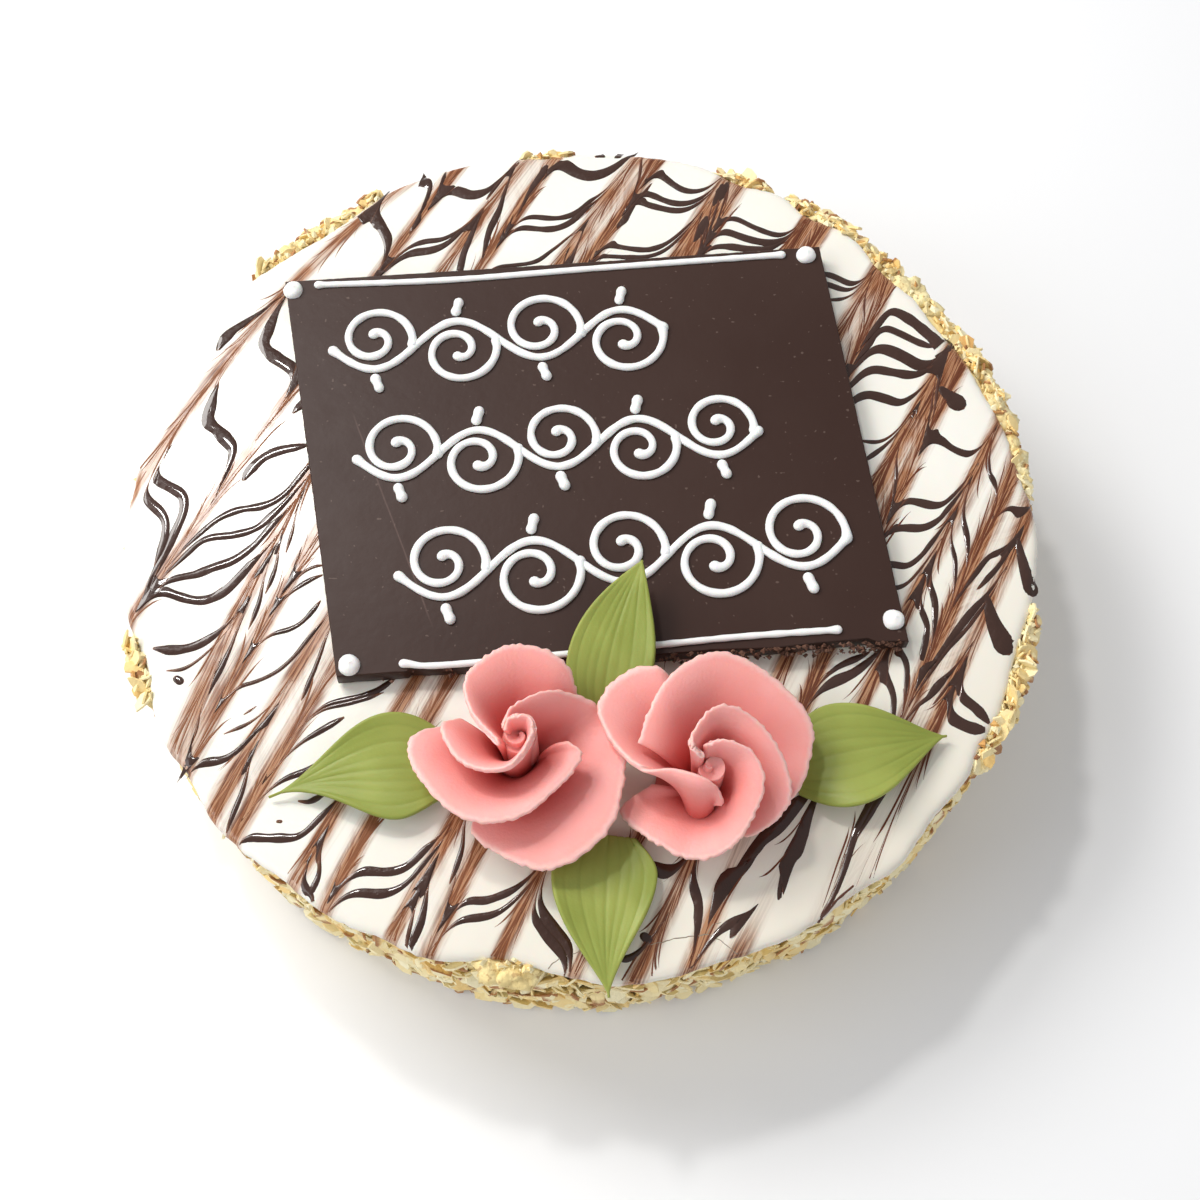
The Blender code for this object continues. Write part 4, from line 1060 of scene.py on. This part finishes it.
def pipe(piece, path, seed, radius=SCROLL_RADIUS, around=12):
    """A bead of piped icing along a path on the plaque, with round ends."""
    path = evenly(path, PIPE_STEP)
    last = len(path) - 1
    # rings: point of the path, how far on from it, and size
    rings = [(0, -1.0, 0.05), (0, -0.85, 0.5), (0, -0.5, 0.85), *((i, 0, 1) for i in range(last + 1)),
             (last, 0.5, 0.85), (last, 0.85, 0.5), (last, 1.0, 0.05)]
    points = []
    for i, slide, shrink in rings:
        ahead = (path[min(i + 1, last)] - path[max(i - 1, 0)]).normalized()
        aside = Vector((-ahead.y, ahead.x))
        from_end = min(i, last - i) * PIPE_STEP
        swell = 1 + 0.35 * math.exp(-(from_end / 1.6) ** 2) + 0.16 * wobble(i * PIPE_STEP, seed * 9.1, 0, 3.2)
        thick = radius * swell
        centre = path[i] + ahead * (slide * thick)
        for corner in range(around):
            angle = math.tau * corner / around
            x, y = centre + aside * (thick * shrink * math.cos(angle))
            height = 0.3 + 0.85 * thick * shrink * math.sin(angle)
            points.append((x, y, max(PLAQUE_TOP - 0.2, PLAQUE_TOP + height)))
    piece.add(points, grid_faces(len(rings), around, closed=True))


def pipe_dot(piece, x, y, seed, around=20, rows=9):
    """A dot of piped icing with the small peak where the cone was lifted."""
    points = []
    for row in range(rows):
        lift = row / (rows - 1)
        for corner in range(around):
            angle = math.tau * corner / around
            reach = DOT_RADIUS * math.cos(0.5 * math.pi * lift) ** 0.75 if row < rows - 1 else 0.02
            reach *= 1 + 0.10 * wobble(math.cos(angle) * 2, math.sin(angle) * 2 + lift * 3, seed * 5.0, 1.3)
            up = 0.72 * DOT_RADIUS * math.sin(0.5 * math.pi * lift) + (0.35 if row == rows - 1 else 0)
            points.append((x + 0.3 * lift + reach * math.cos(angle), y + reach * math.sin(angle),
                           PLAQUE_TOP - 0.1 + up))
    piece.add(points, grid_faces(rows, around, closed=True))


def vine_strokes(vine):
    """One running scroll: a waved stem, a curl that winds on from each wave, and a drop beyond it."""
    start, end = Vector(vine["start"]), Vector(vine["end"])
    along = (end - start).normalized()
    aside = Vector((-along.y, along.x))
    pitch = (end - start).length / vine["waves"]
    rise = 0.30 * pitch
    draw = np.random.default_rng(vine["seed"])
    stem = []
    for step in range(STEM_STEPS * vine["waves"] + 1):
        place = step / STEM_STEPS
        stem.append(start + along * (pitch * place) - aside * (rise * math.sin(math.pi * place)))
    piped = [stem]
    for wave in range(vine["waves"]):
        side = 1 if wave % 2 == 0 else -1
        middle = start + along * (pitch * (wave + 0.5))
        centre = middle + aside * (side * 0.12 * pitch)
        size = draw.uniform(0.92, 1.04)
        curl = []
        for step in range(CURL_STEPS + 1):
            t = step / CURL_STEPS
            angle = math.radians(CURL_START + CURL_DEGREES * t)
            reach = pitch * size * (0.42 * (1 - t) + 0.085)
            curl.append(centre + along * (reach * math.cos(angle)) + aside * (side * reach * math.sin(angle)))
        piped.append(curl)
        tip = middle - aside * (side * (rise + 0.14 * pitch))
        piped.append([tip, tip - aside * (side * 0.13 * pitch) + along * (0.04 * pitch)])
    return piped


piping = Piece()
for number, (x, y) in enumerate(CORNER_DOTS):
    pipe_dot(piping, x, y, number)
pipe(piping, smooth_path(BACK_LINE, 60), 31, BORDER_RADIUS)
pipe(piping, smooth_path(FRONT_LINE, 60), 32, BORDER_RADIUS)
for number, vine in enumerate(VINES):
    for part, stroke in enumerate(vine_strokes(vine)):
        pipe(piping, stroke, 40 + 20 * number + part)
piping.finish("white_piping", royal, "white_piping")


# Roses: pink marzipan rolled thin at the rim and wound round a bud, petal over petal.
# The thin rims dry first: they are paler and crumbly. The folds between petals are darkened with painted shade.
marzipan = Finish("pink_marzipan", 0.5, Subsurface_Weight=0.3, Subsurface_Scale=0.004)
petal_colour = marzipan.blend(marzipan.grain(12.0).between(0.3, 0.7), (0.92, 0.360, 0.322), (0.93, 0.400, 0.368))
# painted shade: the depth shade deepens and darkens the pink low on the petals, below the bud's spiral step and on
# the mound, where shade falls in the folds
petal_colour = marzipan.blend(marzipan.attribute("depth"), petal_colour, (0.60, 0.10, 0.085))
dried = (marzipan.attribute("rim") * 1.2 - 0.35 + marzipan.grain(1.2, 2.0) * 0.5).between(0.2, 0.9)
marzipan.set("Base Color", marzipan.blend(dried * 0.8, petal_colour, (0.93, 0.56, 0.51)))
marzipan.relief(marzipan.grain(0.7, 3.0), 0.10)
PETAL_FOOT_THICKNESS = 2.3
PETAL_RIM_THICKNESS = 1.5
PETAL_FLARE = 1.25
FOOT_HEIGHT = 2.5
FOOT_REACH = 1.6
FOOT_SHARE = 0.15
ROSE_TOP = 26.3
# the share of a bud's rings that make its top, and the height that the others go down to as its side
BUD_TOP = 0.74
BUD_FOOT = 9.0
# each rose's place, the roll at its heart, and for each petal how far its lower part swells to the front,
# and its rim as points (x, y, height) from the rose's axis and the icing
ROSES = {
    "rose_left": {"axis": (-13.6, -69.1), "bud": {"radius": 4.0, "pitch": 4.2, "turn": 2.4, "height": 20.6,
                                                  "step": 2.6, "shift": (0.4, 1.2)},
                  "bulges": (0, 0, 0, 0), "petals": (
        ((-3, 1.5, 24), (-1.5, 4, 26), (3, 4, 27), (3.5, -1, 26), (-2.5, -7.5, 23), (-12.5, -5, 20), (-18, 4, 18),
         (-14, 8, 13)),
        ((-4, -2, 24), (-11, 7, 21.5), (-12, 17, 20), (-1.5, 24.5, 18.5), (10.5, 21, 16), (14, 10, 9)),
        ((-3.5, 2.5, 23), (-1, 8, 22.5), (8, 12.5, 20), (20, 10, 12), (24.5, -4, 13), (20, -19, 12.5), (6, -27, 10),
         (-10, -19, 8), (-8, -11, 6)),
        ((11, 0.5, 19), (14.5, -2.5, 19), (11, -8.5, 18.5), (0, -17, 17), (-13.5, -16, 15.5), (-24.5, -4, 14),
         (-24.5, 4, 13), (-14, 8, 9)),
    )},
    "rose_right": {"axis": (29.0, -75.8), "bud": {"radius": 3.0, "pitch": 4.5, "turn": 5.6, "height": 19.5,
                                                  "step": 2.2, "shift": (1.2, 0.6)},
                   "bulges": (0, 0, 7, 0), "petals": (
        ((-1, 1.5, 25), (-4, 5.5, 26.5), (1.5, 13, 26), (9.5, 12.5, 23.5), (17, 4, 20), (19, -6, 15.5),
         (10.5, -12.5, 10), (5, -8, 7)),
        ((-1, 4.5, 24.5), (4, 5.5, 25.5), (10.5, 2.5, 24), (12.5, -5.5, 20.5), (6, -15.5, 13), (-3, -18, 10),
         (-11, -14, 9), (-19.5, -6, 7), (-12, 1, 6)),
        ((3.6, -6.2, 14), (3.2, -4.6, 17), (1.2, -2.8, 19.5), (-2, -1.2, 20.5), (-7.5, 0.5, 20), (-15, 1, 19),
         (-21.5, 8, 16.5), (-24.5, 17, 15), (-19.5, 25, 14.5), (-10, 26.5, 15), (-4, 18, 9)),
        ((-15, 7, 18), (-13, 14, 20), (-7.5, 23.5, 19.5), (2.5, 29.5, 18), (13.5, 26.5, 16), (24.5, 16, 13),
         (25, 6.5, 11), (20.5, -3.5, 10), (12, -7, 7)),
    )},
}


def lay_sheet(piece, rows, thickness, **shades):
    """A closed sheet of marzipan round a grid of points, with a thickness and shades for each of them."""
    high, wide = len(rows), len(rows[0])
    outside, inside = [], []
    for j in range(high):
        for i in range(wide):
            along = rows[j][min(i + 1, wide - 1)] - rows[j][max(i - 1, 0)]
            across = rows[min(j + 1, high - 1)][i] - rows[max(j - 1, 0)][i]
            normal = along.cross(across).normalized()
            outside.append(tuple(rows[j][i] + normal * (0.5 * thickness[j][i])))
            inside.append(tuple(rows[j][i] - normal * (0.5 * thickness[j][i])))
    count = high * wide
    faces = grid_faces(high, wide)
    faces += [tuple(count + corner for corner in reversed(face)) for face in faces]
    border = [*range(wide), *range(2 * wide - 1, count, wide), *range(count - 2, count - wide - 1, -1),
              *range(count - 2 * wide, 0, -wide)]
    for here, after in zip(border, border[1:] + border[:1]):
        faces.append((after, here, count + here, count + after))
    piece.add(outside + inside, faces, **{name: [shade for row in grid for shade in row] * 2
                                          for name, grid in shades.items()})


PETAL_RISE = [step / 20 for step in range(19)] + [0.93, 0.955, 0.975, 0.99, 1.0]
# the last rows narrow to a rounded rim
RIM_ROUNDING = {1.0: 0.40, 0.99: 0.78, 0.975: 0.95}


def lay_petal(piece, axis, rim, seed, bulge, around=150):
    """One petal, from its foot near the rose's axis up and out to its rim."""
    rim = smooth_path(rim, around)
    walked = np.concatenate([[0], np.cumsum([(after - before).length for before, after in zip(rim, rim[1:])])])
    rows, thickness, rims, fold_shades = [], [], [], []
    for v in PETAL_RISE:
        row, thick = [], []
        petal_thickness = PETAL_FOOT_THICKNESS + (PETAL_RIM_THICKNESS - PETAL_FOOT_THICKNESS) * v
        for i, point in enumerate(rim):
            reach = math.hypot(point.x, point.y)
            foot = FOOT_REACH + FOOT_SHARE * reach
            forward = bulge * (1 - v) ** 0.8 * math.exp(-((point.x + 4) / 8) ** 2 - (max(0.0, point.y - 4) / 6) ** 2)
            radius = foot + (reach - foot) * v ** PETAL_FLARE
            height = FOOT_HEIGHT + (min(point.z, ROSE_TOP) - FOOT_HEIGHT) * (1 - (1 - v) ** 2)
            # the rim is crumbly, and the whole petal waves a little; both fade towards the heart
            crumbly = 0.55 * wobble(walked[i], seed * 11.0, 0, 1.2) * max(0.0, v - 0.93) / 0.07
            radius += min(1.0, reach / 9) * (crumbly + 0.35 * wobble(walked[i], seed * 5.0, v * 8, 9.0) * v)
            row.append(Vector((axis[0] + point.x / reach * radius, axis[1] + point.y / reach * radius - forward,
                               ICING_TOP + height)))
            from_end = min(i, around - i)
            thick.append(petal_thickness * RIM_ROUNDING.get(v, 1.0) * min(1.0, 0.45 + 0.2 * from_end))
        rows.append(row)
        thickness.append(thick)
        rims.append([max(0.0, (v - 0.90) / 0.10)] * len(rim))
        # painted shade, strongest low on the petal, deep in the folds
        fold_shades.append([min(1.0, max(0.0, 1.22 - 1.36 * v))] * len(rim))
    lay_sheet(piece, rows, thickness, rim=rims, depth=fold_shades)


def lay_bud(piece, axis, bud, around=96, rings=26):
    """The heart of a rose: marzipan rolled tight, with the end of the strip showing as a spiral step."""
    points, climbs = [], []
    for ring in range(rings):
        share = ring / (rings - 1)
        for step in range(around):
            turn = math.tau * step / around
            radius = max(bud["radius"] * min(1.0, 1.35 * share), 0.01)
            wound = (turn - bud["turn"]) / math.tau + radius / bud["pitch"]
            climb = wound - math.floor(wound)
            climb *= min(1.0, (1 - climb) / 0.10)
            height = bud["height"] + bud["step"] * climb - 0.22 * radius
            if share > BUD_TOP:
                # the roll's side goes down between the petals
                height -= (share - BUD_TOP) / (1 - BUD_TOP) * (height - BUD_FOOT)
            points.append((axis[0] + bud["shift"][0] + radius * math.cos(turn),
                           axis[1] + bud["shift"][1] + radius * math.sin(turn), ICING_TOP + height))
            climbs.append(climb)
    # the depth shade is painted shade below the spiral step
    piece.add(points, grid_faces(rings, around, closed=True), rim=[0.35 * climb for climb in climbs],
              depth=[0.45 * (1 - climb) for climb in climbs])


# the low mound that the petals stand on: radius and height
MOUND = ((0.01, 0.3), (11, 0.3), (11.4, 1.0), (11.0, 2.2), (9.0, 3.0), (6.0, 3.6), (3.0, 4.0), (0.01, 4.2))
MOUND_SIDES = 48


def lay_mound(piece, axis):
    """The mound of marzipan that holds a rose's petals together on the icing."""
    points = []
    for radius, height in MOUND:
        for side in range(MOUND_SIDES):
            turn = math.tau * side / MOUND_SIDES
            reach = radius * (1 + 0.05 * math.sin(3 * turn + height))
            points.append((axis[0] + reach * math.cos(turn), axis[1] + reach * math.sin(turn), ICING_TOP + height))
    # the mound is darkened all over with painted shade, as it sits in shade between the petals
    piece.add(points, grid_faces(len(MOUND), MOUND_SIDES, closed=True), rim=[0.0] * len(points),
              depth=[0.9] * len(points))


for name, rose in ROSES.items():
    petals = Piece()
    for number, (rim, bulge) in enumerate(zip(rose["petals"], rose["bulges"])):
        lay_petal(petals, rose["axis"], rim, number + 1, bulge)
    lay_bud(petals, rose["axis"], rose["bud"])
    lay_mound(petals, rose["axis"])
    petals.finish(name + "_petals", marzipan, "pink_marzipan", [name])


# Leaves: green marzipan rolled thin, cut to a point and scored with veins. Each is pushed in under the roses
# and bent, so that its middle stands up and its tip lies on the icing or on the plaque.
green = Finish("green_marzipan", 0.45, Specular_IOR_Level=0.3, Subsurface_Weight=0.15, Subsurface_Scale=0.002)
leaf_colour = green.blend(green.grain(18.0, 2.0).between(0.3, 0.7), (0.255, 0.30, 0.055), (0.325, 0.37, 0.080))
# painted shade: the leaf is darker in its scored veins, as deep as each groove
green.set("Base Color", green.blend(green.attribute("vein"), leaf_colour, (0.15, 0.18, 0.025)))
green.relief(green.grain(1.0, 3.0), 0.06)
LEAF_THICKNESS = 1.7
LEAF_EDGE = 0.7
# root, bend and tip of the middle rib, the widest half-width, where along the leaf that is, how fast it narrows
# after it, and how far its sides wave
LEAVES = {
    "leaf_left": {"rib": ((-31, -70, 2.0), (-49, -68, 8.0), (-73, -76.6, 1.8)), "half": 13.0, "widest": 0.32,
                  "taper": 1.9, "wave": 1.0},
    "leaf_right": {"rib": ((51, -69, 2.0), (66, -67, 8.0), (88, -61.5, 2.0)), "half": 13.0, "widest": 0.36,
                   "taper": 1.25, "wave": 1.2},
    "leaf_back": {"rib": ((6.0, -58, 4.5), (6.0, -44, 11.0), (15.3, -20.4, 13.5)), "half": 10.5, "widest": 0.40,
                  "taper": 0.9, "wave": 0.6},
    "leaf_front": {"rib": ((7.0, -86, 1.6), (4.5, -103, 6.0), (7.0, -123.0, 2.6)), "half": 12.2, "widest": 0.26,
                   "taper": 1.3, "wave": 0.8},
}
# place across the half-width and how hard each vein was pressed
VEIN_WIDTH = 0.40
VEINS = ((-0.74, 0.5), (-0.42, 0.8), (-0.20, 0.4), (0.0, 1.0), (0.26, 0.7), (0.52, 0.5), (0.80, 0.6))


def lay_leaf(leaf, long=120, wide=64):
    """One leaf with its veins pressed in."""
    piece = Piece()
    root, bend, tip = (Vector(point) for point in leaf["rib"])
    rows, thickness, veins = [], [], []
    for step in range(long + 1):
        t = step / long
        centre = (1 - t) ** 2 * root + 2 * t * (1 - t) * bend + t * t * tip
        ahead = 2 * (1 - t) * (bend - root) + 2 * t * (tip - bend)
        aside = Vector((-ahead.y, ahead.x, 0.0)).normalized()
        if t < leaf["widest"]:
            share = 0.55 + 0.45 * math.sin(0.5 * math.pi * t / leaf["widest"])
        else:
            past = (t - leaf["widest"]) / (1 - leaf["widest"])
            share = max(0.0, math.cos(0.5 * math.pi * past)) ** leaf["taper"]
        half = max(leaf["half"] * share, 0.3)
        row, thick, vein_shade_row = [], [], []
        for cell in range(wide + 1):
            s = math.sin(0.5 * math.pi * (2 * cell / wide - 1))
            lift = 0.10 * half * (s * s - 0.3)
            lift += leaf["wave"] * s * s * share * math.sin(math.tau * 1.2 * t + 2.0 * s)
            groove = min(1.0, half / 5) * sum(
                press * math.exp(-((s - place - 0.05 * math.sin(3 * t + 5 * place)) * half / VEIN_WIDTH) ** 2)
                for place, press in VEINS)
            row.append(centre + aside * (half * s) + Vector((0, 0, lift + ICING_TOP - 0.20 * groove)))
            round_off = math.sqrt(max(0.0, 1 - max(0.0, (abs(s) * half - half + LEAF_EDGE) / LEAF_EDGE) ** 2))
            thick.append(LEAF_THICKNESS * (1.0 - 0.45 * t) * (0.25 + 0.75 * round_off))
            # painted shade in the veins' grooves
            vein_shade_row.append(min(0.4, 0.20 * groove))
        rows.append(row)
        thickness.append(thick)
        veins.append(vein_shade_row)
    lay_sheet(piece, rows, thickness, vein=veins)
    return piece


for name, leaf in LEAVES.items():
    lay_leaf(leaf).finish(name + "_blade", green, "green_marzipan", [name])
